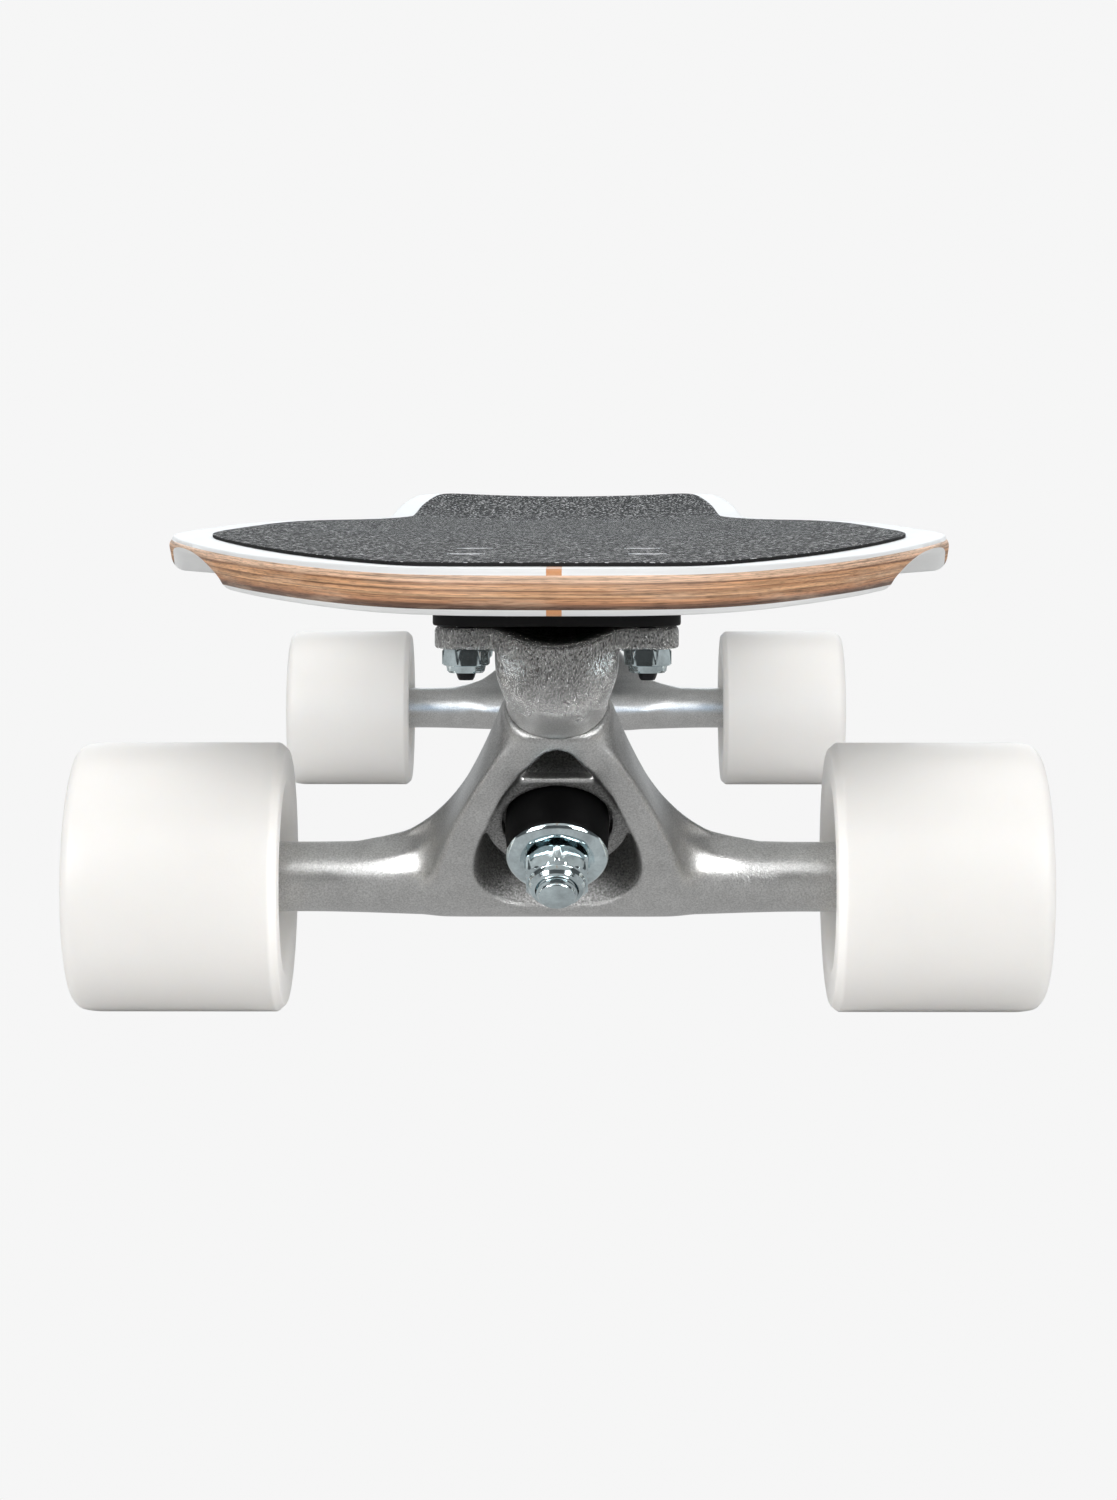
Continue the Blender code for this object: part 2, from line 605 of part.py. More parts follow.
def build_wheel(end, side, sign, truck):
    """A wheel with its two bearings, spacer and axle nut. Z points outward along the axle."""
    half = WHEEL_WIDTH / 2
    seat = SPACER_HALF + BEARING_WIDTH + GAP
    shoulder = SPACER_HALF - 0.2
    radius = BEARING_RADIUS + GAP
    profile = [
        (24.0, half), (29.5, half), (WHEEL_RADIUS, half - 3.5), (WHEEL_RADIUS, -half + 1.8),
        (WHEEL_RADIUS - 1.8, -half), (23.0, -half), (radius, -seat), (radius, -shoulder),
        (8.5, -shoulder), (8.5, shoulder), (radius, shoulder), (radius, seat),
    ]  # fmt: skip
    centre = bpy.data.objects.new(f"{end}_{side}_wheel_centre", None)
    BOARD.objects.link(centre)
    centre.empty_display_size = 0.01
    centre.parent = truck
    # The rear truck is turned round, so its left wheel is at -X in its own frame.
    across = sign if end == "front" else -sign
    centre.location = (across * WHEEL_CENTRE_X * MM, 0, 0)
    centre.rotation_euler.y = across * math.pi / 2

    wheel = place(turned(f"{end}_{side}_wheel", profile, WHEEL_STEPS), WHEEL_URETHANE, centre)
    wheel.rotation_euler.z = math.pi / WHEEL_STEPS
    ring = BEARING_WIDTH / 2
    for which, place_z in (("inner", -SPACER_HALF - ring), ("outer", SPACER_HALF + ring)):
        section = [(4.35, ring), (BEARING_RADIUS, ring), (BEARING_RADIUS, -ring), (4.35, -ring)]
        bearing = turned(f"{end}_{side}_{which}_bearing", section, 20)
        place(bearing, BEARING_STEEL, centre).location.z = place_z * MM
    tube_half = SPACER_HALF - GAP
    tube = [(4.35, tube_half), (6.0, tube_half), (6.0, -tube_half), (4.35, -tube_half)]
    place(turned(f"{end}_{side}_bearing_spacer", tube, 16), STEEL, centre)
    nut_low = SPACER_HALF + BEARING_WIDTH + 0.9
    hex_nut(
        f"{end}_{side}_axle_nut", AXLE_NUT_FLATS, nut_low, nut_low + 6.4, 6.0, 1.8, 4.35, STEEL, centre
    )


build_truck("front", FRONT_AXLE_Y, 0.0)
build_truck("rear", REAR_AXLE_Y, math.pi)

for piece in BOARD.objects:
    if piece.type == "MESH":
        piece.data.shade_smooth()
        piece.data.set_sharp_from_angle(angle=math.radians(35))
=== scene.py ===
"""Looks of the surf-style cruiser skateboard: fine meshes, materials, light and camera."""

import math

import bmesh
import bpy
import numpy as np
from mathutils import Matrix, Vector
from mathutils.geometry import delaunay_2d_cdt


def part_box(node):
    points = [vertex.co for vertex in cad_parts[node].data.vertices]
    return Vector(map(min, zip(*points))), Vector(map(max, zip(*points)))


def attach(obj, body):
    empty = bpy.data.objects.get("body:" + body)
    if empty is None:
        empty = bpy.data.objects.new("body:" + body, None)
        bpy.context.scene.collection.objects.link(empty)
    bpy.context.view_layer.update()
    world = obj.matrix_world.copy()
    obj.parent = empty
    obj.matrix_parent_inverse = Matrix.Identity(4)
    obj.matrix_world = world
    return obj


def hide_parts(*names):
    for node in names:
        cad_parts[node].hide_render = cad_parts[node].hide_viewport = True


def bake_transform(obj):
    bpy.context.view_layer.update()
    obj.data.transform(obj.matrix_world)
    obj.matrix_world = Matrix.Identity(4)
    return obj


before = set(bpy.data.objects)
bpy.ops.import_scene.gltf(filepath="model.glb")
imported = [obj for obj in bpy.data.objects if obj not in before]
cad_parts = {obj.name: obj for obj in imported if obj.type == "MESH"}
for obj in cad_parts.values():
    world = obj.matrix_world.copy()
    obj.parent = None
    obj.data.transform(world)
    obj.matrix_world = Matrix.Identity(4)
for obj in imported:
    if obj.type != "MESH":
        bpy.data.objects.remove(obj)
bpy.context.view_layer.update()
MM = 0.001

# -------------------------------- dimensions, as in the CAD (mm)
WHEEL_R, WHEEL_HALF, WHEEL_X = 32.5, 25.5, 91.0
AXLE_R = 4.0
AXLE_Y = {"front": -302.0, "rear": 290.0}
AXLE_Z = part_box("front_axle")[0].z * 1000 + AXLE_R
LENGTH, NOSE_Y = 890.0, -445.0
DECK_LOW, DECK_TOP = 101.2, 110.8
GRIP_LOW, GRIP_TOP = 111.05, 111.65
GAP = 0.25  # between stacked pieces

# a truck: its steering axis leans by TILT, and SEAT and MOUTH are heights up that axis from the axle
TILT = math.radians(43.0)
SIN, COS = math.sin(TILT), math.cos(TILT)
SEAT, MOUTH = 30.4, 62.0  # the kingpin, and the mouth of the pivot cup
PLATE_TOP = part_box("front_baseplate")[1].z * 1000
PLATE_THICK, PLATE_HALF_X, PLATE_HALF_F, PLATE_CORNER = 4.9, 27.75, 39.1, 7.0
PLATE_F = 17.0  # the baseplate's middle, forward of the axle
BOLT_X, BOLT_F, BOLT_TIP = 20.65, 31.75, 83.0  # from the plate's middle; the tip is above the floor

# -------------------------------- camera
def new_object(name, data):
    """An object in the scene."""
    obj = bpy.data.objects.new(name, data)
    bpy.context.scene.collection.objects.link(obj)
    return obj


camera = new_object("camera", bpy.data.cameras.new("camera"))
camera.data.lens = 78.0
camera.data.sensor_width = 36.0
camera.location = (0.0046, -1.090, 0.1278)
camera.rotation_euler = (math.pi / 2, 0.0, math.radians(0.326))
camera.data.shift_y = -0.178
camera.data.clip_start = 0.02
bpy.context.scene.camera = camera


# -------------------------------- mesh helpers
def new_piece(name, mesh, body, replaced):
    """An object for a finished mesh, the CAD nodes it stands for and the body it rides on."""
    obj = new_object(name, mesh)
    if replaced:
        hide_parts(*replaced)
    if body:
        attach(obj, body)
    return obj


def place(name, shape, look, body, matrix, replaced=(), sharp=35, raw=None):
    """Places a shape (vertices in mm, faces) by a matrix in metres. The last argument, if given, is a value
    for each vertex: how much sandy skin and painted shade it gets.
    """
    verts, faces = shape
    mesh = bpy.data.meshes.new(name)
    mesh.from_pydata((np.asarray(verts, float) * MM).tolist(), [], faces)
    if raw is not None:
        mesh.attributes.new("raw", "FLOAT", "POINT").data.foreach_set("value", raw)
    work = bmesh.new()
    work.from_mesh(mesh)
    bmesh.ops.remove_doubles(work, verts=work.verts, dist=1e-7)
    bmesh.ops.recalc_face_normals(work, faces=work.faces)
    bmesh.ops.transform(work, matrix=matrix, verts=work.verts)
    work.to_mesh(mesh)
    work.free()
    mesh.materials.append(look)
    mesh.shade_smooth()
    mesh.set_sharp_from_angle(angle=math.radians(sharp))
    return new_piece(name, mesh, body, replaced)


def turned(profile, steps=96, hexagon=None, twist=0.0):
    """A turned mesh about Z from (radius, height) points. hexagon caps the radius to a hexagon."""
    angles = np.arange(steps) * 2 * math.pi / steps
    loop = profile[0][0] > 1e-9
    verts, rows = [], []
    for r, z in profile:
        if r < 1e-9:
            rows.append([len(verts)] * steps)
            verts.append((0.0, 0.0, z))
            continue
        radii = np.full(steps, float(r))
        if hexagon:
            off = (angles + math.pi / 6) % (math.pi / 3) - math.pi / 6
            radii = np.minimum(radii, hexagon / 2 / np.cos(off))
        rows.append(list(range(len(verts), len(verts) + steps)))
        turn = angles + twist
        verts += list(zip(radii * np.cos(turn), radii * np.sin(turn), np.full(steps, z)))
    faces = []
    pairs = list(zip(rows, rows[1:])) + ([(rows[-1], rows[0])] if loop else [])
    for a, b in pairs:
        for i in range(steps):
            j = (i + 1) % steps
            face = [a[i], a[j], b[j], b[i]]
            kept = [v for n, v in enumerate(face) if v not in face[:n]]
            if len(kept) > 2:
                faces.append(kept)
    return np.array(verts), faces


def hexed(rows, flats, twist=0.0):
    """A hexagonal nut or head: (radius limit, height) rows."""
    return turned(rows, 144, flats, twist)


def bored(outer, bore):
    """A closed profile with a bore: outer rows from top to bottom, then back up the bore."""
    return [*outer, (bore, outer[-1][1]), (bore, outer[0][1])]


def thread(radius, low, high, pitch, depth):
    """Rows of a threaded shaft from high to low."""
    rows, z = [], high
    while z - pitch > low:
        rows += [(radius - depth, z - pitch * 0.06), (radius, z - pitch * 0.42), (radius, z - pitch * 0.56)]
        z -= pitch
    return rows


def rounded(points, radius, steps=4):
    """A profile with its corners rounded, apart from its two ends: points are (r, z) or (r, z, radius)."""
    out = []
    for n, point in enumerate(points):
        r = point[2] if len(point) > 2 else radius
        if n in (0, len(points) - 1) or r <= 0:
            out.append(point[:2])
            continue
        here = np.array(point[:2], float)
        before = np.array(points[n - 1][:2], float) - here
        after = np.array(points[n + 1][:2], float) - here
        la, lb = np.linalg.norm(before), np.linalg.norm(after)
        cut = min(r, la * 0.45, lb * 0.45)
        a, b = here + before / la * cut, here + after / lb * cut
        for k in range(steps + 1):
            t = k / steps
            out.append(tuple((1 - t) ** 2 * a + 2 * t * (1 - t) * here + t**2 * b))
    return out


def smooth(v):
    """A smooth step from 0 to 1."""
    v = np.clip(v, 0, 1)
    return v * v * (3 - 2 * v)


def spline(stations, values, x):
    """Smooth curve through stations, evaluated at x (numpy)."""
    s, v = np.asarray(stations, float), np.asarray(values, float)
    x = np.clip(np.asarray(x, float), s[0], s[-1])
    k = np.clip(np.searchsorted(s, x, side="right") - 1, 0, len(s) - 2)
    slope = np.empty_like(v)
    slope[1:-1] = (v[2:] - v[:-2]) / (s[2:] - s[:-2])
    slope[0] = (v[1] - v[0]) / (s[1] - s[0])
    slope[-1] = (v[-1] - v[-2]) / (s[-1] - s[-2])
    span = s[k + 1] - s[k]
    t = (x - s[k]) / span
    return (
        (2 * t**3 - 3 * t**2 + 1) * v[k]
        + (t**3 - 2 * t**2 + t) * span * slope[k]
        + (3 * t**2 - 2 * t**3) * v[k + 1]
        + (t**3 - t**2) * span * slope[k + 1]
    )


# -------------------------------- signed distance shapes
def smin(a, b, r):
    """A union with a fillet of about r."""
    h = np.maximum(r - np.abs(a - b), 0) / r
    return np.minimum(a, b) - h * h * r / 4


def smax(a, b, r):
    """An intersection with a rounding of about r."""
    return -smin(-a, -b, r)


def slab(d, along, low, high, r=0.0):
    """A flat shape's distance d extruded along an axis, with its edges rounded by r."""
    a = d + r
    b = np.abs(along - (low + high) / 2) - (high - low) / 2 + r
    return np.hypot(np.maximum(a, 0), np.maximum(b, 0)) + np.minimum(np.maximum(a, b), 0) - r


def polygon(x, y, points):
    """Signed distance to a closed polygon."""
    best = np.full(x.shape, 1e9)
    inside = np.zeros(x.shape, bool)
    points = np.asarray(points, float)
    for (ax, ay), (bx, by) in zip(points, np.roll(points, -1, axis=0)):
        ex, ey = bx - ax, by - ay
        wx, wy = x - ax, y - ay
        t = np.clip((wx * ex + wy * ey) / (ex * ex + ey * ey), 0, 1)
        best = np.minimum(best, (wx - ex * t) ** 2 + (wy - ey * t) ** 2)
        cross = (ay > y) != (by > y)
        with np.errstate(divide="ignore", invalid="ignore"):
            inside ^= cross & (x < ax + (y - ay) * ex / (ey if ey else 1e-12))
    return np.where(inside, -1, 1) * np.sqrt(best)


def surface_net(field, low, high, step):
    """The zero surface of field(x, y, z) over a box, as a smooth mesh of quads."""
    axes = [np.arange(a, b + step, step) for a, b in zip(low, high)]
    grid = np.meshgrid(*axes, indexing="ij")
    d = field(*grid)
    n = [s - 1 for s in d.shape]
    corners = [(i, j, k) for i in (0, 1) for j in (0, 1) for k in (0, 1)]
    total, count = np.zeros((*n, 3)), np.zeros(n)
    for a in corners:
        for axis in range(3):
            if a[axis]:
                continue
            b = tuple(v + (m == axis) for m, v in enumerate(a))
            da = d[a[0] : n[0] + a[0], a[1] : n[1] + a[1], a[2] : n[2] + a[2]]
            db = d[b[0] : n[0] + b[0], b[1] : n[1] + b[1], b[2] : n[2] + b[2]]
            cross = (da < 0) != (db < 0)
            t = np.where(cross, da / np.where(da == db, 1, da - db), 0)
            for m in range(3):
                total[..., m] += cross * (a[m] + (m == axis) * t)
            count += cross
    live = count > 0
    index = np.full(n, -1)
    index[live] = np.arange(live.sum())
    cell = np.stack(np.nonzero(live), -1)
    verts = (cell + total[live] / count[live][:, None]) * step + np.array(low)
    faces = []
    inside = d < 0
    for axis in range(3):
        other = [m for m in range(3) if m != axis]
        span = [slice(0, -1) if m == axis else slice(1, -1) for m in range(3)]
        first = inside[tuple(span)]
        span[axis] = slice(1, None)
        second = inside[tuple(span)]
        spots = np.stack(np.nonzero(first != second), -1)
        spots = spots + np.array([0 if m == axis else 1 for m in range(3)])
        quad = []
        for da, db in ((0, 0), (1, 0), (1, 1), (0, 1)):
            at = spots.copy()
            at[:, other[0]] -= da
            at[:, other[1]] -= db
            quad.append(index[at[:, 0], at[:, 1], at[:, 2]])
        faces += np.stack(quad, -1).tolist()
    for _ in range(2):  # pull the points onto the surface
        value, h = field(*verts.T), 0.05
        moves = h * np.eye(3)
        slope = np.stack([field(*(verts + m).T) - field(*(verts - m).T) for m in moves], -1) / (2 * h)
        size = np.maximum((slope**2).sum(-1), 0.2)
        verts = verts - np.clip(value / size, -step / 3, step / 3)[:, None] * slope
    return verts, faces


# -------------------------------- materials
def adder(tree):
    """A function that adds a node. Its settings are name=value, or _name=value for one of its properties.

    A value that is a socket is linked, and _0 to _9 are inputs by their number.
    """

    def add(kind, **settings):
        node = tree.nodes.new("ShaderNode" + kind)
        for key, value in settings.items():
            if key.startswith("_") and not key[1:].isdigit():
                setattr(node, key[1:], value)
                continue
            socket = node.inputs[int(key[1:])] if key[1:].isdigit() else node.inputs[key.replace("_", " ")]
            if isinstance(value, bpy.types.NodeSocket):
                tree.links.new(value, socket)
            else:
                socket.default_value = value
        return node

    return add


def new_look(name):
    """A material with its Principled shader, a helper that adds nodes and one that links a shader input."""
    look = bpy.data.materials.new(name)
    look.use_nodes = True
    tree = look.node_tree
    shader = tree.nodes["Principled BSDF"]

    def link(value, target):
        tree.links.new(value, shader.inputs[target])

    return look, shader, adder(tree), link


def ramp(add, value, *stops):
    """A colour ramp on a value: stops are (position, grey or colour)."""
    node = add("ValToRGB", Fac=value)
    elements = node.color_ramp.elements
    while len(elements) > 1:
        elements.remove(elements[-1])
    for n, (place, colour) in enumerate(stops):
        element = elements[0] if n == 0 else elements.new(place)
        element.position = place
        colour = colour if isinstance(colour, tuple) else (colour,) * 3
        element.color = (*colour, 1)
    return node.outputs["Color"]


def mix(add, fac, a, b, blend="MIX"):
    """A colour mix."""
    node = add("MixRGB", _blend_type=blend, Fac=fac)
    for socket, value in ((node.inputs[1], a), (node.inputs[2], b)):
        if isinstance(value, bpy.types.NodeSocket):
            node.id_data.links.new(value, socket)
        else:
            socket.default_value = (*value, 1) if isinstance(value, tuple) else (value,) * 3 + (1,)
    return node.outputs[0]


def where(add):
    """Object coordinates, in metres."""
    return add("TexCoord").outputs["Object"]


def noise(add, at, scale, detail=3.0, rough=0.55):
    """A noise value."""
    return add("TexNoise", Vector=at, Scale=scale, Detail=detail, Roughness=rough).outputs["Fac"]


def bump(add, height, strength, distance, normal=None):
    """A bump from a height value."""
    node = add("Bump", Height=height, Strength=strength, Distance=distance)
    if normal is not None:
        node.id_data.links.new(normal, node.inputs["Normal"])
    return node.outputs["Normal"]


def metal(name, colour, rough, grain, grain_size, speck=0.14, blotch=0.12, raw=False):
    """Metal with a fine grain: grain is the bump's depth in metres, and grain_size the noise's scale."""
    look, shader, add, link = new_look(name)
    at = where(add)
    fine = noise(add, at, grain_size, 3, 0.6)
    broad = noise(add, at, 170, 4)
    shader.inputs["Metallic"].default_value = 1.0
    tone = mix(add, ramp(add, broad, (0.3, 0.0), (0.7, 1.0)), colour, tuple(c * (1 - blotch) for c in colour))
    dots = ramp(add, fine, (0.36, 1.0 - 2 * speck), (0.5, 1.0 - speck), (0.66, 1.0))
    tone = mix(add, 1.0, tone, dots, "MULTIPLY")
    span = add("MapRange", Value=noise(add, at, 240, 4), To_Min=rough - 0.05, To_Max=rough + 0.07)
    rougher, normal = span.outputs[0], bump(add, fine, 0.6, grain)
    if raw:  # where the mesh says so: a sandier, rougher skin, darkened with painted shade
        # the mesh's value, and the sand's darkening it mixes in, stand partly for a sandier skin and partly
        # for painted shade
        skin = add("Attribute", _attribute_name="raw").outputs["Fac"]
        sand = noise(add, at, 2000, 4, 0.7)
        dull = ramp(add, sand, (0.36, 0.28), (0.5, 0.5), (0.68, 0.85))
        tone = mix(add, skin, tone, mix(add, 1.0, tone, dull, "MULTIPLY"))
        rougher = add("MapRange", Value=skin, To_Min=rough, To_Max=0.5).outputs[0]
        normal = bump(add, mix(add, skin, 0.5, sand), 0.8, 0.0003, normal)
    link(tone, "Base Color")
    link(rougher, "Roughness")
    link(normal, "Normal")
    return look


def crinkled(name, colour):
    """Raw cast metal: a crinkled skin high on the casting, and a satin blasted surface lower."""
    look, shader, add, link = new_look(name)
    at = where(add)
    shader.inputs["Metallic"].default_value = 1.0
    height = add("SeparateXYZ", Vector=at).outputs[2]
    ragged = add("Math", _operation="MULTIPLY_ADD", _0=noise(add, at, 220, 2), _1=0.010, _2=height)
    upper = add("MapRange", Value=ragged.outputs[0], From_Min=0.074, From_Max=0.096).outputs[0]
    long = add("Mapping", Vector=at, Scale=(1.0, 1.0, 0.4)).outputs[0]
    crust = noise(add, long, 3800, 4, 0.75)
    fine = noise(add, at, 3600, 3)
    dark = ramp(add, crust, (0.41, 0.25), (0.49, 0.95), (0.56, 1.5))
    dots = ramp(add, fine, (0.35, 0.78), (0.65, 1.0))
    tone = mix(add, 1.0, mix(add, upper, (0.88, 0.88, 0.88), dark), dots, "MULTIPLY")
    link(mix(add, 1.0, tone, colour, "MULTIPLY"), "Base Color")
    span = add("MapRange", Value=upper, To_Min=0.30, To_Max=0.22)
    link(span.outputs[0], "Roughness")
    rough = mix(add, upper, 0.5, crust)
    normal = bump(add, fine, 0.5, 0.0001)
    link(bump(add, rough, 1.0, 0.0018, normal), "Normal")
    return look


def urethane(name, colour, rough, scatter=0.0, dirt=0.0, shine=0.5):
    """Poured plastic with a faint moulded grain."""
    look, shader, add, link = new_look(name)
    at = where(add)
    broad = noise(add, at, 45, 4)
    worn = tuple(c * (1 - dirt) for c in colour)
    link(mix(add, ramp(add, broad, (0.35, 0.0), (0.75, 1.0)), colour, worn), "Base Color")
    span = add("MapRange", Value=noise(add, at, 300, 4), To_Min=rough - 0.04, To_Max=rough + 0.08)
    link(span.outputs[0], "Roughness")
    shader.inputs["Specular IOR Level"].default_value = shine
    if scatter:
        shader.inputs["Subsurface Weight"].default_value = scatter
        shader.inputs["Subsurface Radius"].default_value = (1.0, 0.8, 0.6)
        shader.inputs["Subsurface Scale"].default_value = 0.002
    link(bump(add, noise(add, at, 1500, 2), 0.15, 0.0001), "Normal")
    return look


def grit_look():
    """Grip tape: dense black grit with bright specks."""
    look, shader, add, link = new_look("grip_grit_fine")
    at = where(add)
    cells = add("TexVoronoi", Vector=at, Scale=1500.0)
    tone = add("SeparateXYZ", Vector=cells.outputs["Color"]).outputs[0]
    facing = add("SeparateXYZ", Vector=add("NewGeometry").outputs["Normal"]).outputs[2]
    flat = add("MapRange", Value=facing, From_Min=0.3, From_Max=0.9, To_Min=0.05).outputs[0]
    tone = add("Math", _operation="MULTIPLY", _0=tone, _1=flat).outputs[0]
    speck = ramp(add, tone, (0.0, 0.008), (0.6, 0.02), (0.85, 0.085), (1.0, 1.0))
    broad = ramp(add, noise(add, at, 90, 5), (0.35, 0.85), (0.7, 1.1))
    link(mix(add, 1.0, speck, broad, "MULTIPLY"), "Base Color")
    shader.inputs["Roughness"].default_value = 0.75
    shader.inputs["Specular IOR Level"].default_value = 0.15
    height = mix(add, 0.5, cells.outputs["Distance"], noise(add, at, 2600, 3))
    link(bump(add, height, 0.6, 0.00025), "Normal")
    return look


def paint_look():
    """White paint with the deck's wooden stringer showing as a stripe along the middle."""
    look, shader, add, link = new_look("deck_paint_fine")
    at = where(add)
    x = add("SeparateXYZ", Vector=at).outputs[0]
    off = add("Math", _operation="ABSOLUTE", _0=x).outputs[0]
    wobble = add("Math", _operation="MULTIPLY", _0=noise(add, at, 300, 3), _1=0.00025).outputs[0]
    edge = add("Math", _operation="SUBTRACT", _0=0.00168, _1=wobble).outputs[0]
    stripe = add("Math", _operation="LESS_THAN", _0=off, _1=edge).outputs[0]
    long = add("Mapping", Vector=at, Scale=(1.0, 0.05, 1.0)).outputs[0]
    grain = noise(add, long, 2200, 5, 0.65)
    wood = mix(add, grain, (0.50, 0.20, 0.075), (0.68, 0.33, 0.14))
    cloud = ramp(add, noise(add, at, 25, 5), (0.4, 0.0), (0.8, 1.0))
    white = mix(add, cloud, (0.74, 0.74, 0.735), (0.70, 0.70, 0.69))
    link(mix(add, stripe, white, wood), "Base Color")
    span = add("MapRange", Value=noise(add, at, 200, 4), To_Min=0.26, To_Max=0.4)
    link(span.outputs[0], "Roughness")
    link(bump(add, noise(add, at, 420, 3), 0.2, 0.0002), "Normal")
    return look


def edge_look():
    """The deck's bare wood edge: thin layers with long grain, with painted light near its top and painted
    shade near its bottom.
    """
    look, shader, add, link = new_look("deck_edge_wood")
    uv = add("UVMap", _uv_map="edge").outputs[0]
    sep = add("SeparateXYZ", Vector=uv)
    along, depth = sep.outputs[0], sep.outputs[1]
    wave = noise(add, add("Mapping", Vector=uv, Scale=(9.0, 40.0, 1.0)).outputs[0], 1.0, 3)
    warped = add("Math", _operation="MULTIPLY_ADD", _0=wave, _1=0.0011, _2=depth).outputs[0]
    ply = add("MapRange", Value=warped, From_Min=0.0014, From_Max=0.0083).outputs[0]
    pale, mid, deep = (0.72, 0.50, 0.36), (0.53, 0.275, 0.135), (0.27, 0.12, 0.055)
    # the layers' colours, pale at the top and darkening towards the bottom: partly the veneers' own tones,
    # partly painted light above and painted shade where the edge turns under
    plies_with_light_and_shade = ramp(
        add, ply, (0.0, (0.42, 0.22, 0.12)), (0.03, pale), (0.27, (0.68, 0.43, 0.28)), (0.33, deep),
        (0.37, mid), (0.5, (0.60, 0.33, 0.17)), (0.53, deep), (0.58, mid), (0.70, (0.62, 0.36, 0.19)),
        (0.73, (0.32, 0.15, 0.07)), (0.78, mid), (0.88, (0.42, 0.20, 0.10)), (0.93, (0.26, 0.125, 0.07)),
        (1.0, (0.13, 0.07, 0.045)),
    )  # fmt: skip
    streak = add("CombineXYZ", X=along, Y=warped).outputs[0]
    fibre = noise(add, add("Mapping", Vector=streak, Scale=(22.0, 1700.0, 1.0)).outputs[0], 1.0, 7, 0.75)
    patch = noise(add, add("Mapping", Vector=streak, Scale=(45.0, 420.0, 1.0)).outputs[0], 1.0, 4)
    pores = noise(add, add("Mapping", Vector=uv, Scale=(260.0, 5200.0, 1.0)).outputs[0], 1.0, 3)
    wood = mix(add, 1.0, plies_with_light_and_shade, ramp(add, fibre, (0.36, 0.34), (0.48, 0.9), (0.62, 1.42)), "MULTIPLY")
    wood = mix(add, ramp(add, patch, (0.5, 0.0), (0.75, 0.45)), wood, (0.78, 0.55, 0.38))
    wood = mix(add, 1.0, wood, ramp(add, pores, (0.36, 0.62), (0.5, 1.0)), "MULTIPLY")
    link(wood, "Base Color")
    shader.inputs["Roughness"].default_value = 0.5
    shader.inputs["Specular IOR Level"].default_value = 0.35
    link(bump(add, mix(add, 0.5, fibre, pores), 0.5, 0.0003), "Normal")
    return look


PAINT, EDGE, GRIP = paint_look(), edge_look(), grit_look()
# the hanger's metal: its mesh values add painted shade inside the window and on the flanks
CAST = metal("cast_aluminium_satin_and_shade", (0.73, 0.73, 0.72), 0.30, 0.00016, 2400, 0.16, raw=True)
CAST_ROUGH = crinkled("cast_aluminium_crinkle", (0.68, 0.68, 0.67))
ZINC = metal("zinc_plating", (0.78, 0.90, 0.93), 0.09, 0.00002, 1800, 0.03, 0.42)
BEARING = metal("bearing_ring", (0.56, 0.56, 0.57), 0.2, 0.00002, 2000, 0.04)
SHIELD = metal("bearing_shield", (0.40, 0.40, 0.42), 0.3, 0.00002, 2400, 0.04)
BOLT = metal("black_oxide", (0.035, 0.035, 0.038), 0.30, 0.00003, 2000)
# the bolt heads are a much lighter copy of the screws' black oxide: a painted highlight where the heads catch
# the light
HEAD = metal("black_oxide_lightened_heads", (0.42, 0.42, 0.44), 0.12, 0.00001, 2000, 0.05)
BUSHING = urethane("bushing_urethane_fine", (0.003, 0.003, 0.0033), 0.5, dirt=0.3, shine=0.06)
RISER = urethane("riser_plastic_fine", (0.005, 0.005, 0.0054), 0.55, dirt=0.3, shine=0.15)
WHEEL = urethane("wheel_urethane_fine", (0.85, 0.828, 0.80), 0.42, scatter=0.12, dirt=0.015, shine=0.35)
CORE = urethane("wheel_core_plastic", (0.72, 0.72, 0.70), 0.36, dirt=0.05)


# -------------------------------- deck
OUTLINE = (
    (0.0, 8.0), (1.0, 15.0), (4.0, 22.8), (9.0, 31.0), (17.0, 40.0), (31.0, 49.7),
    (50.0, 59.8), (74.0, 70.5), (110.0, 82.5), (147.0, 92.6), (180.0, 99.0), (215.0, 101.4),
    (260.0, 102.0), (320.0, 102.4), (380.0, 102.4), (440.0, 101.0), (500.0, 97.5),
    (560.0, 91.5), (620.0, 85.5), (680.0, 81.5), (740.0, 79.2), (790.0, 78.6), (835.0, 77.4),
    (860.0, 74.9), (876.0, 72.2), (885.0, 69.2), (890.0, 62.0),
)  # fmt: skip
FLAT_HALF, CONCAVE_RISE, CONCAVE_AT = 27.0, 3.6, 93.0
KICK_START, KICK_RISE, KICK_CUP = 782.0, 10.5, 3.2
WELL_HALF, WELL_DEPTH, WELL_FROM = 50.0, 6.0, 62.0


def half_width(s):
    """Half the deck's width at a distance behind the nose's tip."""
    return spline(*zip(*OUTLINE), s)


def lift(x, s):
    """How far the deck's surface is above its flat middle."""
    out = np.maximum(np.abs(x) - FLAT_HALF, 0)
    concave = CONCAVE_RISE * (out / (CONCAVE_AT - FLAT_HALF)) ** 1.5
    back = np.maximum(s - KICK_START, 0) / (LENGTH - KICK_START)
    cup = KICK_CUP * smooth(back * 1.5) * (np.abs(x) / 78.0) ** 2
    return concave * (1 - smooth(back * 1.5)) + KICK_RISE * back**1.6 + cup


def well(x, s):
    """How far a wheel well raises the underside."""
    out = smooth((np.abs(x) - WELL_FROM) / 26.0)
    depth = np.zeros_like(out)
    for y in AXLE_Y.values():
        along = np.minimum(np.abs(s + NOSE_Y - y) / WELL_HALF, 1)
        depth = np.maximum(depth, WELL_DEPTH * out * np.sqrt(1 - along**2))
    return depth


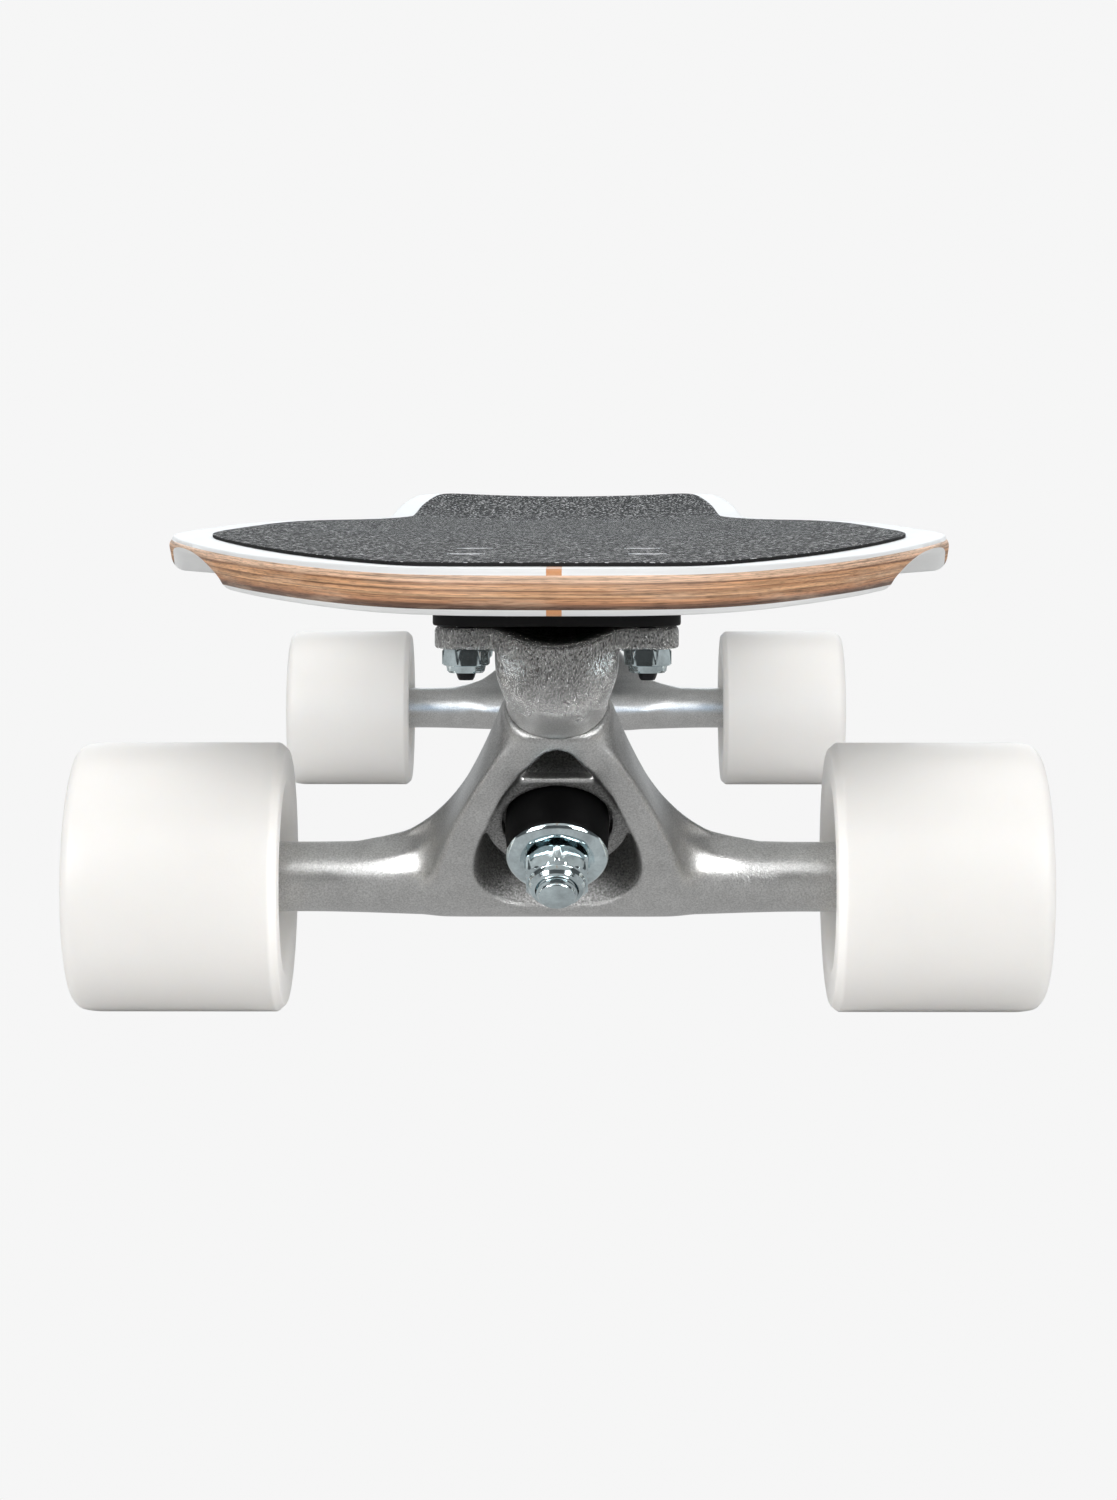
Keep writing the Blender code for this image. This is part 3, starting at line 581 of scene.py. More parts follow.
def outline(width, start, end, nose_curve, pitch):
    """Points (x, s) round a plan shape, evenly spaced by pitch, starting at the tail.

    width(s) gives half the width between start and end, and nose_curve bows the blunt front forward.
    """
    s = start + (end - start) * (1 - np.cos(np.linspace(0, math.pi, 1600))) / 2
    x = width(s)
    front = np.linspace(0, x[0], 24)[:-1]
    xs = np.concatenate([front, x, np.linspace(x[-1], 0, 60)[1:]])
    ss = np.concatenate([start + nose_curve * (front / x[0]) ** 2 - nose_curve, s, np.full(59, end)])
    step = np.hypot(np.diff(xs), np.diff(ss))
    length = np.concatenate([[0], np.cumsum(step)])
    even = np.linspace(0, length[-1], int(length[-1] / pitch))
    xs, ss = np.interp(even, length, xs), np.interp(even, length, ss)
    for _ in range(6):
        xs[1:-1] = (xs[:-2] + 2 * xs[1:-1] + xs[2:]) / 4
        ss[1:-1] = (ss[:-2] + 2 * ss[1:-1] + ss[2:]) / 4
    ring = np.concatenate([np.stack([xs, ss], -1), np.stack([-xs, ss], -1)[-2:0:-1]])
    return np.roll(ring, len(ring) // 2, axis=0)


def inward(points):
    """Unit normals that point into a closed outline of points (x, s)."""
    ahead = np.roll(points, -1, axis=0) - np.roll(points, 1, axis=0)
    ahead /= np.linalg.norm(ahead, axis=1)[:, None]
    normal = np.stack([-ahead[:, 1], ahead[:, 0]], -1)
    middle = np.array([0.0, LENGTH / 2])
    if ((middle - points) * normal).sum() < 0:
        normal = -normal
    return normal


def filled(ring, pitch):
    """Points and triangles that fill a closed ring: the ring's points come first, then even ones inside."""
    xs = np.arange(-104, 104.1, pitch)  # a little past the deck's widest
    ss = np.arange(ring[:, 1].min(), ring[:, 1].max(), pitch)
    grid = np.stack(np.meshgrid(xs, ss, indexing="ij"), -1).reshape(-1, 2)
    grid = grid[polygon(grid[:, 0], grid[:, 1], ring) < -pitch * 0.55]
    points = [Vector(p) for p in ring] + [Vector(p) for p in grid]
    edges = [(k, (k + 1) % len(ring)) for k in range(len(ring))]
    out = delaunay_2d_cdt(points, edges, [], 1, 1e-7)
    return np.array([tuple(v) for v in out[0]]), [list(f) for f in out[2]]


def plate_mesh(name, ring, profile, top, bottom, node, looks, zones, pitch=5.0):
    """A curved board: a closed outline swept by an edge profile, with its faces filled.

    The profile is (inset, share of the thickness from the top, drop in mm) rows from top to bottom, and
    zones gives the number of the look between each two rows.
    """
    normal = inward(ring)
    verts, faces, kinds, uvs = [], [], [], []
    step = np.hypot(*(ring - np.roll(ring, 1, axis=0)).T)
    travel = np.cumsum(step)
    rows = []
    for inset, share, drop in profile:
        p = ring + normal * inset
        high, low = top(p[:, 0], p[:, 1]), bottom(p[:, 0], p[:, 1])
        z = high + (low - high) * share - drop
        rows.append(len(verts))
        for (x, s), h, hi, t in zip(p, z, high, travel):
            verts.append((x, s + NOSE_Y, h))
            uvs.append((t * MM, (hi - h) * MM))
    count = len(ring)
    for n, (a, b) in enumerate(zip(rows, rows[1:])):
        for i in range(count):
            j = (i + 1) % count
            faces.append([a + i, a + j, b + j, b + i])
            kinds.append(zones[n])
    for start, surface, (inset, _, drop), kind, flip in (
        (rows[0], top, profile[0], zones[0], False),
        (rows[-1], bottom, profile[-1], zones[-1], True),
    ):
        points, triangles = filled(ring + normal * inset, pitch)
        base = len(verts) - count
        z = surface(points[:, 0], points[:, 1]) - drop
        for (x, s), h in zip(points[count:], z[count:]):
            verts.append((x, s + NOSE_Y, h))
            uvs.append((0.0, 0.0))
        for tri in triangles:
            tri = [start + v if v < count else base + v for v in tri]
            faces.append(tri[::-1] if flip else tri)
            kinds.append(kind)
    mesh = bpy.data.meshes.new(name)
    mesh.from_pydata((np.array(verts) * MM).tolist(), [], faces)
    layer = mesh.uv_layers.new(name="edge")
    for loop in mesh.loops:
        layer.data[loop.index].uv = uvs[loop.vertex_index]
    for look in looks:
        mesh.materials.append(look)
    for face, kind in zip(mesh.polygons, kinds):
        face.material_index = kind
    shape = bmesh.new()
    shape.from_mesh(mesh)
    bmesh.ops.recalc_face_normals(shape, faces=shape.faces)
    shape.to_mesh(mesh)
    shape.free()
    mesh.shade_smooth()
    mesh.set_sharp_from_angle(angle=math.radians(50))
    new_piece(name, mesh, "board", [node])


def level(height):
    """A surface that follows the deck's curves, at this height in the flat middle."""
    return lambda x, s: height + lift(x, s)


def underside(x, s):
    """The deck's underside, with its wheel wells."""
    return DECK_LOW + lift(x, s) + well(x, s)


deck_ring = outline(half_width, 0.4, 889.9, 0.3, 3.2)
WOOD_TOP, WOOD_LOW = 1.4, 1.3  # the bare edge runs between these depths from the two faces
DECK_EDGE = [(4.5, 0, 0.0), (2.8, 0, 0.0), (1.9, 0, 0.09), (1.25, 0, 0.32), (0.85, 0, 0.64)]
DECK_EDGE += [
    (inset, share, WOOD_TOP * (1 - share) - WOOD_LOW * share)
    for inset, share in (
        (0.62, 0.0), (0.36, 0.1), (0.15, 0.22), (0.03, 0.36), (0.0, 0.5), (0.05, 0.64),
        (0.2, 0.77), (0.5, 0.89), (0.95, 1.0),
    )
]  # fmt: skip
DECK_EDGE += [(1.2, 1, -1.1), (1.75, 1, -0.6), (2.6, 1, -0.18), (3.5, 1, 0.0), (5.0, 1, 0.0)]
DECK_ZONES = [0] * 5 + [1] * 8 + [2] * 5
plate_mesh(
    "deck_board", deck_ring, DECK_EDGE, level(DECK_TOP), underside, "deck", [PAINT, EDGE, PAINT], DECK_ZONES
)


def grip_width(s):
    """Half the grip tape's width at a distance behind the nose's tip."""
    from_nose = np.maximum(s - 16.0, 0)
    nose = 21.0 + 13.5 * np.sqrt(np.minimum(from_nose, 12.0) / 12.0)
    return np.minimum(half_width(s) - 11.0, nose + 1.55 * from_nose)


grip_ring = outline(grip_width, 16.0, 886.0, 0.2, 3.2)
GRIP_EDGE = [(0.25, 0, 0.0), (0.05, 0, 0.08), (0.0, 0.5, 0.0), (0.05, 1, 0.0)]
plate_mesh(
    "grip_sheet", grip_ring, GRIP_EDGE, level(GRIP_TOP), level(GRIP_LOW - 0.2), "grip_tape", [GRIP], [0, 0, 0]
)


# -------------------------------- truck castings
def fine_outline(half, count=48):
    """A smooth closed outline of points (x, t) from (t, half-width) stations."""
    t = np.linspace(half[0][0], half[-1][0], count)
    width = spline(*zip(*half), t)
    return np.concatenate([np.stack([width, t], -1), np.stack([-width, t], -1)[::-1]])


ARM_R, ARM_SWELL, ARM_END = 8.4, 0.9, 78.5
FRAME_BACK, FRAME_FRONT, FRAME_FOOT = -6.0, 10.5, -7.6  # along the kingpin, and above the axle
RING_FRONT, RING_BACK, SHELF = 9.4, -4.0, 45.4  # the bushings' seat, and the step above it
CUP_R, CUP_FLOOR, BACK_CUP_R, BACK_CUP_FLOOR = 12.95, 6.6, 12.9, -1.0
BOSS_R, COLLAR_R, PIN_R = 14.0, 12.2, 5.0  # the baseplate's front boss, and the hanger's end under it

# the hanger's outline at its back and at its front, and its window at the front
BACK = fine_outline((
    (-7.0, 34.0), (-3.0, 42.0), (1.0, 46.0), (5.0, 46.0), (8.2, 41.8), (11.0, 37.4), (14.2, 33.4),
    (17.5, 30.1), (21.0, 27.3), (24.7, 24.8), (28.2, 22.8), (31.8, 21.0), (35.3, 19.6), (38.8, 18.3),
    (42.3, 17.1), (45.7, 16.0), (57.0, 12.6),
))  # fmt: skip
FRONT = fine_outline((
    (-10.0, 24.0), (-3.0, 29.0), (3.0, 30.0), (8.0, 29.5), (14.0, 28.7), (20.0, 27.6), (26.0, 26.0),
    (32.0, 23.8), (38.4, 21.0), (44.7, 18.1), (49.1, 15.8), (53.9, 13.5), (57.3, 12.2), (61.2, 10.6),
))  # fmt: skip
WINDOW = fine_outline((
    (0.2, 1.0), (0.8, 6.7), (2.3, 11.2), (3.4, 13.8), (5.25, 16.4), (8.2, 18.75), (12.2, 20.1),
    (14.8, 20.3), (18.4, 20.0), (22.0, 19.4), (26.4, 18.15), (29.9, 16.9), (33.5, 15.7), (36.0, 14.5),
    (40.5, 12.55), (43.9, 10.65), (48.1, 8.3), (52.9, 5.3), (54.9, 3.9), (56.3, 2.7), (57.3, 0.5),
), 60)  # fmt: skip


def hanger_field(x, t, k):
    """The hanger: x across, t up the steering axis, k along the kingpin toward its free end."""
    arm = ARM_R + ARM_SWELL * smooth((60 - np.abs(x)) / 40)
    d = slab(np.hypot(t, k) - arm, x, -ARM_END, ARM_END, 0.8)

    # the frame between the arms, cut flat at its foot and round where it nears the pivot
    height = t * COS - k * SIN
    forward = np.clip((k - FRAME_BACK) / (FRAME_FRONT - FRAME_BACK), 0, 1)
    outer = polygon(x, t, BACK) * (1 - forward) + polygon(x, t, FRONT) * forward
    web = smax(slab(outer, k, FRAME_BACK, FRAME_FRONT, 1.9), FRAME_FOOT - height, 3.0)
    web = smax(web, np.hypot(x, k) - 12.3 - 0.8 * np.maximum(59.0 - t, 0), 2.0)
    d = smin(d, web, 4.0 + 6.0 * smooth((height + 5) / 8) * smooth((k + 5) / 8))
    collar = slab(np.hypot(x, k) - COLLAR_R, t, 50.0, MOUTH - 1.0, 0.8)
    d = smin(d, smax(collar, k - FRAME_FRONT, 0.8), 3.0)

    # the window's walls lean in with depth, most at its foot, where they clear the axle
    deep = np.maximum(FRAME_FRONT - k, 0)
    foot = smooth((16 - t) / 16)
    hole = polygon(x, t - 0.42 * deep * foot, WINDOW) + 0.5 * np.minimum(deep, 1.4) + 0.16 * deep
    d = smax(d, -np.maximum(hole, RING_BACK - k), 0.6)
    wall = polygon(x, t, WINDOW)
    behind = np.maximum(np.maximum(wall + 3.0, 15.0 - t), k - 4.0)
    d = smax(d, -behind, 1.0)

    # the bushings' seat, with a cup on each side, and the bores
    around = np.hypot(x, t - SEAT)
    floor = np.maximum(slab(np.maximum(wall - 2.5, t - SHELF), k, RING_BACK, RING_FRONT, 0.5), 27.0 - t)
    ring = slab(np.maximum(around - 17.0, t - SHELF), k, RING_BACK, RING_FRONT, 0.8)
    d = smin(d, smin(floor, ring, 0.6), 0.9)
    d = smax(d, -slab(around - CUP_R, k, CUP_FLOOR, 40.0), 0.5)
    d = smax(d, -slab(around - BACK_CUP_R, k, -40.0, BACK_CUP_FLOOR), 0.6)
    d = smax(d, -(around - 10.0), 0.5)
    d = smax(d, -(np.hypot(t, k) - AXLE_R - 0.35), 0.4)
    pin = slab(np.hypot(x, k) - PIN_R, t, 55.0, MOUTH + 7.5, 2.0)
    return smin(d, pin, 1.5)


def skin_and_shade_of_hanger(verts):
    """How much sandy cast skin and painted shade each hanger point gets: 0 on its blasted front and arms, to
    1 inside its window, where the darkening is painted shade in the recess over a sandier skin.
    """
    x, t, k = verts.T
    window = polygon(x, t, WINDOW)
    inside = smooth((0.35 - window) / 0.5) * smooth((FRAME_FRONT - 0.25 - k) / 0.5) * (k > -8)
    # the shelf's top edge is kept out of the painted shade, so it stays a light line
    shelf = smooth(1.4 - np.abs(t - SHELF + 0.3)) * (k > 7.0)
    inside = inside * (1 - 0.85 * shelf)
    # the flanks get half: a sandier skin, with painted shade on these sides
    side = polygon(x, t, FRONT)
    flank = smooth((side + 1.6) / 1.6) * smooth((t - 10) / 12) * smooth((44 - np.abs(x)) / 14)
    return np.maximum(inside, 0.5 * flank)


def plate_field(x, f, u):
    """The baseplate: x across, f forward of the axle, u above it."""
    top = PLATE_TOP - AXLE_Z
    low = top - PLATE_THICK
    t, k = f * SIN + u * COS, f * COS - u * SIN
    across, along = np.abs(x), f - PLATE_F

    # the flat plate with its round corners
    beyond_x = np.maximum(across - PLATE_HALF_X + PLATE_CORNER, 0)
    beyond_f = np.maximum(np.abs(along) - PLATE_HALF_F + PLATE_CORNER, 0)
    sides = np.maximum(across - PLATE_HALF_X, np.abs(along) - PLATE_HALF_F)
    flat = slab(np.maximum(np.hypot(beyond_x, beyond_f) - PLATE_CORNER, sides), u, low, top, 0.7)

    # the pivot's boss in front, the kingpin's boss behind and a rib between them
    boss = BOSS_R - 2.25 * (1 - smooth((t - MOUTH) / 13))
    pivot = np.maximum(smax(np.hypot(x, k) - boss, MOUTH - 0.5 - t, 0.7), t - 92)
    pivot = smax(pivot, f - 59.3 + x * x / 44, 1.5)
    seat = np.maximum(np.hypot(x, t - SEAT) - 12.4, k + 20.8)
    seat = np.maximum(seat, -(along + PLATE_HALF_F + 0.1))
    rib = slab(np.maximum(across - 6.0, u - top), f, -9.0, 30.0)
    rib = np.maximum(rib, low - 7.0 + 0.35 * np.maximum(f - 5, 0) - u)
    rib = np.maximum(rib, MOUTH + 1.2 - t - 14.0 * (f < 20))
    d = smin(smin(smin(flat, pivot, 1.2), seat, 5.0), rib, 3.0)

    # trimmed at the pivot's mouth, the top and the two ends
    d = smax(d, MOUTH - 0.5 - t - 200.0 * (k < -14), 0.5)
    d = smax(d, u - top, 0.7)
    d = smax(d, along - PLATE_HALF_F - 6.0 * (across < 15.0), 0.7)
    d = smax(d, -(along + PLATE_HALF_F), 0.7)

    # the scoop in its front edge, the pivot cup's socket, the kingpin's bore and the pocket for its head
    scoop = np.maximum(np.hypot(x, u - top - 21.2) - 25.4, 12.0 - f)
    d = smax(d, -scoop, 1.2)
    d = smax(d, -np.maximum(np.hypot(x, k) - 7.5, t - MOUTH - 10.1), 0.5)
    d = smax(d, -(np.hypot(x, t - SEAT) - 5.1 + 100 * (k > 0)), 0.4)
    pocket = np.maximum(np.hypot(x, t - SEAT) - 8.9, k + 37.7)
    d = smax(d, -np.maximum(pocket, -(along + 36.3)), 0.5)
    for bolt_x in (-BOLT_X, BOLT_X):
        for bolt_f in (-BOLT_F, BOLT_F):
            d = smax(d, -(np.hypot(x - bolt_x, along - bolt_f) - 2.85), 0.3)
    return d


NET = 0.66  # the castings' mesh pitch
hanger_shape = surface_net(hanger_field, (-80.5, -12.0, -12.0), (80.5, 72.5, 12.5), NET)
# each hanger point's share of sandy skin and painted shade
hanger_raw = skin_and_shade_of_hanger(hanger_shape[0])
baseplate_shape = surface_net(plate_field, (-30.0, -25.0, 24.0), (30.0, 61.0, 64.5), NET)
baseplate_shape[0][:, 1] *= -1  # the truck's own frame has y backward


# -------------------------------- trucks
def truck_matrix(end):
    """From a truck's own frame (x, -forward, up from the axle) to the row frame, in metres."""
    turn = 0.0 if end == "front" else math.pi
    return Matrix.Translation((0, AXLE_Y[end] * MM, AXLE_Z * MM)) @ Matrix.Rotation(turn, 4, "Z")


def tilted(angle, along=0.0):
    """Turn Z to a truck axis, and move along the steering axis."""
    move = Matrix.Translation(Vector((0, -SIN, COS)) * along * MM)
    return move @ Matrix.Rotation(angle, 4, "X")


STEER = tilted(TILT)
KINGPIN = tilted(TILT + math.pi / 2, SEAT)


def castings(end, base):
    """The hanger and the baseplate."""
    turn = base @ tilted(TILT + math.pi / 2)
    body = f"{end}_hanger_body"
    place(f"{end}_hanger_casting", hanger_shape, CAST, body, turn, [f"{end}_hanger"], 60, hanger_raw)
    place(f"{end}_baseplate_casting", baseplate_shape, CAST_ROUGH, "board", base, [f"{end}_baseplate"], 60)


def riser(end, base):
    """The riser pad: a flat pad with round corners and softened edges."""
    low, high = PLATE_TOP + GAP - AXLE_Z, DECK_LOW - GAP - AXLE_Z
    plan = []
    for sx, sy, start in ((1, 1, 0), (-1, 1, 90), (-1, -1, 180), (1, -1, 270)):
        for n in range(9):
            a = math.radians(start + 90 * n / 8)
            plan.append((sx * 20.7 + 7.5 * math.cos(a), sy * 32.7 + 7.5 * math.sin(a) - PLATE_F))
    plan, centre = np.array(plan), np.array([0.0, -PLATE_F])
    rows = [(0.6, high), (0.15, high - 0.15), (0, high - 0.6), (0, low + 0.6), (0.15, low + 0.15), (0.6, low)]
    verts = [(*(centre + (p - centre) * (1 - inset / 32.0)), z) for inset, z in rows for p in plan]
    count = len(plan)
    last = count * (len(rows) - 1)
    faces = []
    for start in range(0, last, count):
        for i in range(count):
            j = (i + 1) % count
            faces.append([start + i, start + j, start + count + j, start + count + i])
    faces += [list(range(count)), list(range(last, last + count))[::-1]]
    place(f"{end}_riser", (verts, faces), RISER, "board", base, [f"{end}_riser_pad"], 40)


def pivot_cup(end, base):
    """The liner of the baseplate's pivot socket."""
    rows = [(0, 71.5), (7.2, 71.5), (7.2, MOUTH + 0.3), (5.45, MOUTH + 0.3), (5.4, 70.1), (0, 70.1)]
    cup = turned(rounded(rows, 0.5), 64)
    place(f"{end}_pivot_cup_liner", cup, BUSHING, "board", base @ STEER, [f"{end}_pivot_cup"])


def kingpin(end, on_pin):
    """The kingpin, its head and its lock nut. Heights run along it, from its seat to its free end."""
    shaft = [(0, 31.95), (3.8, 31.95), (4.1, 31.8), (4.3, 31.5), *thread(4.75, 19.0, 31.2, 1.27, 0.42)]
    shaft += [(4.7, 18.0), (4.75, 17.5), (4.75, -38.0), (0, -38.0)]
    place(f"{end}_kingpin_bolt", turned(shaft, 64), ZINC, "board", on_pin, [f"{end}_kingpin"])
    head = [(0, -37.9), (8.0, -37.9), (8.25, -38.2), (8.25, -43.2), (7.4, -43.95), (0, -43.95)]
    place(f"{end}_kingpin_head", hexed(head, 14.3), ZINC, "board", on_pin)
    foot = 22.0
    nut = [
        (5.6, 7.9), (6.0, 7.75), (6.55, 7.0), (6.65, 6.0), (6.75, 5.8), (7.15, 5.7), (7.7, 5.35),
        (8.3, 4.9), (8.3, 1.1), (7.35, 0.35), (7.1, 0.0),
    ]  # fmt: skip
    nut = hexed(bored([(r, foot + z) for r, z in nut], 5.05), 14.3)
    place(f"{end}_kingpin_locknut", nut, ZINC, "board", on_pin, [f"{end}_kingpin_nut"], 28)


def cushions(end, on_pin):
    """The two bushings, each under its cup washer. They are placed without a parent, with their placement
    baked into their meshes.
    """
    washer = [
        (5.1, 1.55), (7.9, 1.6), (8.6, 1.75), (9.3, 1.9), (10.1, 1.8), (10.8, 1.5), (11.4, 1.0),
        (11.75, 0.5), (11.87, 0.15), (11.75, 0.0), (5.1, 0.0),
    ]  # fmt: skip
    road = [(5.1, 19.3), (11.3, 19.3, 0.8), (11.7, 17.4, 1.4), (12.1, 12.5, 2), (12.1, 7.0, 0.6), (7.2, 7.0)]
    deck = [(7.2, -1.4), (11.9, -1.4, 0.6), (12.2, -9.0, 3), (11.3, -18.2, 0.9), (5.1, -18.2)]
    for side, sign, foot, profile, fixed, free in (
        ("roadside", 1, 19.6, road, 17.5, 8.0),
        ("boardside", -1, 18.5, deck, -16.5, -3.0),
    ):
        ring = turned([(r, sign * (z + foot)) for r, z in washer], 96)
        place(f"{end}_{side}_cup_washer", ring, ZINC, "board", on_pin, [f"{end}_{side}_washer"])
        rubber, name = turned(rounded(profile, 0.6), 96), f"{end}_{side}_bushing"
        soft = place(f"{name}_rubber", rubber, BUSHING, None, on_pin, [name])
        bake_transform(soft)


def axle(end, base):
    """The axle rod, threaded at both ends."""
    half = [(0, 111.4), (3.2, 111.4), (3.8, 110.9), *thread(AXLE_R, 78.0, 110.6, 1.25, 0.3), (AXLE_R, 77.0)]
    bar = turned(half + [(r, -x) for r, x in reversed(half)], 48)
    across = base @ Matrix.Rotation(math.pi / 2, 4, "Y")
    place(f"{end}_axle_rod", bar, ZINC, f"{end}_hanger_body", across, [f"{end}_axle"])


def deck_bolts(end, base):
    """The four countersunk bolts and their lock nuts. Left is at +X on both trucks."""
    flip = 1 if end == "front" else -1
    top, tip = GRIP_TOP + 0.05 - AXLE_Z, BOLT_TIP - AXLE_Z
    head = [(0, -1.9), (1.55, -1.9), (1.65, -0.12), (1.8, 0), (4.35, 0), (4.6, -0.2), (2.6, -2.6), (0, -2.6)]
    head = turned([(r, top + z) for r, z in head], 48)
    screw = [(0, top - 2.5), (2.4, top - 2.7), *thread(2.4, tip + 1.0, tip + 12, 0.8, 0.25)]
    screw = turned(screw + [(1.9, tip + 0.5), (1.6, tip), (0, tip)], 48)
    nut = [
        (5.15, 0), (5.5, 0.35), (5.5, 3.3), (5.1, 3.65), (4.55, 3.8), (4.4, 4.2), (4.3, 4.9), (3.9, 5.35),
        (3.2, 5.4), (2.9, 5.1),
    ]  # fmt: skip
    nut_top = PLATE_TOP - PLATE_THICK - GAP - AXLE_Z
    nut = bored([(r, nut_top - z) for r, z in nut], 2.75)
    for which, row in (("outer", 1), ("inner", -1)):
        for side, sx in (("left", 1), ("right", -1)):
            spot = base @ Matrix.Translation((sx * flip * BOLT_X * MM, -(PLATE_F + row * BOLT_F) * MM, 0))
            bolt, lock = f"{end}_bolt_{which}_{side}", f"{end}_lock_nut_{which}_{side}"
            place(f"{bolt}_head", head, HEAD, "board", spot)
            place(f"{bolt}_screw", screw, BOLT, "board", spot, [bolt])
            place(f"{lock}_hex", hexed(nut, 9.5, 0.35 * sx), ZINC, "board", spot, [lock], 28)


# -------------------------------- wheels
def tyre():
    """The wheel's urethane, round at its outer edge and crisp at its inner one. Heights run outward."""
    face, rim = WHEEL_HALF, WHEEL_R - 0.12
    outer = [(15.4, 11.6), (15.6, 13.4, 0.6), (17.6, 15.6, 1.2), (21.6, 23.4, 2.0), (24.2, face - 0.15, 1.0)]
    outer += [(29.8, face - 0.05, 1.2), (31.8, face - 1.8, 2.5), (rim, face - 5.4, 3.0), (rim, 0, 0)]
    inner = [(rim, 2.0 - face, 0.5), (30.7, 0.1 - face, 0.5), (23.2, 0.1 - face, 0.8)]
    inner += [(21.8, 1.2 - face, 1.2), (15.6, -13.2, 1.0), (15.4, -11.6)]
    return turned(rounded(outer + inner, 1.0), 144)


def core():
    """The moulded core inside the urethane, with a seat for each bearing."""
    flange = [(11.25, 12.2), (12.6, 12.3, 0.4), (13.2, 11.9, 0.5), (15.5, 11.5)]
    seats = [(11.2, -4.9), (8.6, -4.9), (8.6, 4.9), (11.2, 4.9)]
    below = [(r, -z, *corner) for r, z, *corner in reversed(flange)]
    return turned(rounded([*flange, *below, *seats], 0.3), 96)


def bearing(name, body, matrix):
    """A ball bearing, 7 mm wide: two races with a shield between."""
    race = rounded([(9.3, 6.9), (10.7, 6.95), (11.0, 6.6), (11.0, 0.4), (10.7, 0.05), (9.3, 0.1)], 0.15)
    place(f"{name}_outer_race", turned(race, 72), BEARING, body, matrix, [name])
    race = rounded([(4.1, 6.9), (5.9, 6.9), (5.9, 0.1), (4.1, 0.1)], 0.15)
    place(f"{name}_inner_race", turned(race, 64), BEARING, body, matrix)
    shield = [(6.0, 6.35), (6.3, 6.6), (8.7, 6.6), (9.2, 6.4)]
    shield += [(9.25, 0.6), (8.7, 0.4), (6.3, 0.4), (6.0, 0.65)]
    place(f"{name}_shield", turned(shield, 72), SHIELD, body, matrix)


def wheel(end, side, sx):
    """A wheel with its bearings, and the spacer, washers and nut that stay with the axle."""
    name = f"{end}_{side}"
    body, axle_body = f"{name}_wheel_body", f"{end}_hanger_body"
    spot = Matrix.Translation((sx * WHEEL_X * MM, AXLE_Y[end] * MM, AXLE_Z * MM))
    out = spot @ Matrix.Rotation(sx * math.pi / 2, 4, "Y")
    place(f"{name}_wheel_tyre", tyre(), WHEEL, body, out, [f"{name}_wheel"], 45)
    place(f"{name}_wheel_core", core(), CORE, body, out, (), 40)
    for which, z in (("inner", -12.0), ("outer", 5.0)):
        bearing(f"{name}_{which}_bearing", body, out @ Matrix.Translation((0, 0, z * MM)))
    tube = turned([(4.3, 4.8), (5.9, 4.8), (5.9, -4.8), (4.3, -4.8)], 48)
    place(f"{name}_spacer_tube", tube, ZINC, axle_body, out, [f"{name}_bearing_spacer"])
    for which, z in (("inner", -12.45), ("outer", 12.1)):
        disc = turned([(4.2, z + 0.4), (6.3, z + 0.4), (6.4, z + 0.2), (6.3, z), (4.2, z)], 48)
        place(f"{name}_{which}_speed_washer", disc, ZINC, axle_body, out)
    foot = 12.9
    nut = [(4.9, 6.3), (5.3, 6.1), (5.8, 5.2), (5.9, 4.6), (6.2, 4.5), (7.3, 3.9), (7.3, 0.5), (6.6, 0)]
    nut = hexed(bored([(r, foot + z) for r, z in nut], 4.15), 12.7)
    place(f"{name}_axle_locknut", nut, ZINC, axle_body, out, [f"{name}_axle_nut"], 28)


for end in ("front", "rear"):
    base = truck_matrix(end)
    castings(end, base)
    riser(end, base)
    pivot_cup(end, base)
    kingpin(end, base @ KINGPIN)
    cushions(end, base @ KINGPIN)
    axle(end, base)
    deck_bolts(end, base)
    for side, sx in (("left", 1), ("right", -1)):
        wheel(end, side, sx)


# -------------------------------- studio
BACKDROP = 0.921  # the stage's tone where the camera sees it


def stage_look(name, seen, bounced, mirrored):
    """A plain pale stage surface: its tone where it is seen, for its bounce and in reflections."""
    look = bpy.data.materials.new(name)
    look.use_nodes = True
    look.node_tree.nodes.clear()
    add = adder(look.node_tree)
    path = add("LightPath")
    back = add("SeparateXYZ", Vector=where(add)).outputs[1]
    # darker in reflections on the camera's side
    level = add("MapRange", Value=back, From_Min=-1.1, From_Max=-0.6, To_Min=0.05, To_Max=mirrored)
    shine = add("Emission", Strength=level.outputs[0])
    glow = add("Emission", Color=(seen, seen, seen, 1))
    dull = add("BsdfDiffuse", Color=(bounced, bounced, bounced, 1))
    lit = add("MixShader", _0=path.outputs["Is Glossy Ray"], _1=dull.outputs[0], _2=shine.outputs[0])
    both = add("MixShader", _0=path.outputs["Is Camera Ray"], _1=lit.outputs[0], _2=glow.outputs[0])
    add("OutputMaterial", Surface=both.outputs[0])
    return look


def pale_floor():
    """A wide round floor just under the wheels."""
    mesh = bpy.data.meshes.new("floor")
    shape = bmesh.new()
    bmesh.ops.create_circle(shape, cap_ends=True, segments=96, radius=14.0)
    bmesh.ops.translate(shape, verts=shape.verts, vec=(0, 0, -0.0002))
    shape.to_mesh(mesh)
    shape.free()
    mesh.materials.append(stage_look("floor_pale", BACKDROP, 0.85, 0.5))
    new_object("floor", mesh)


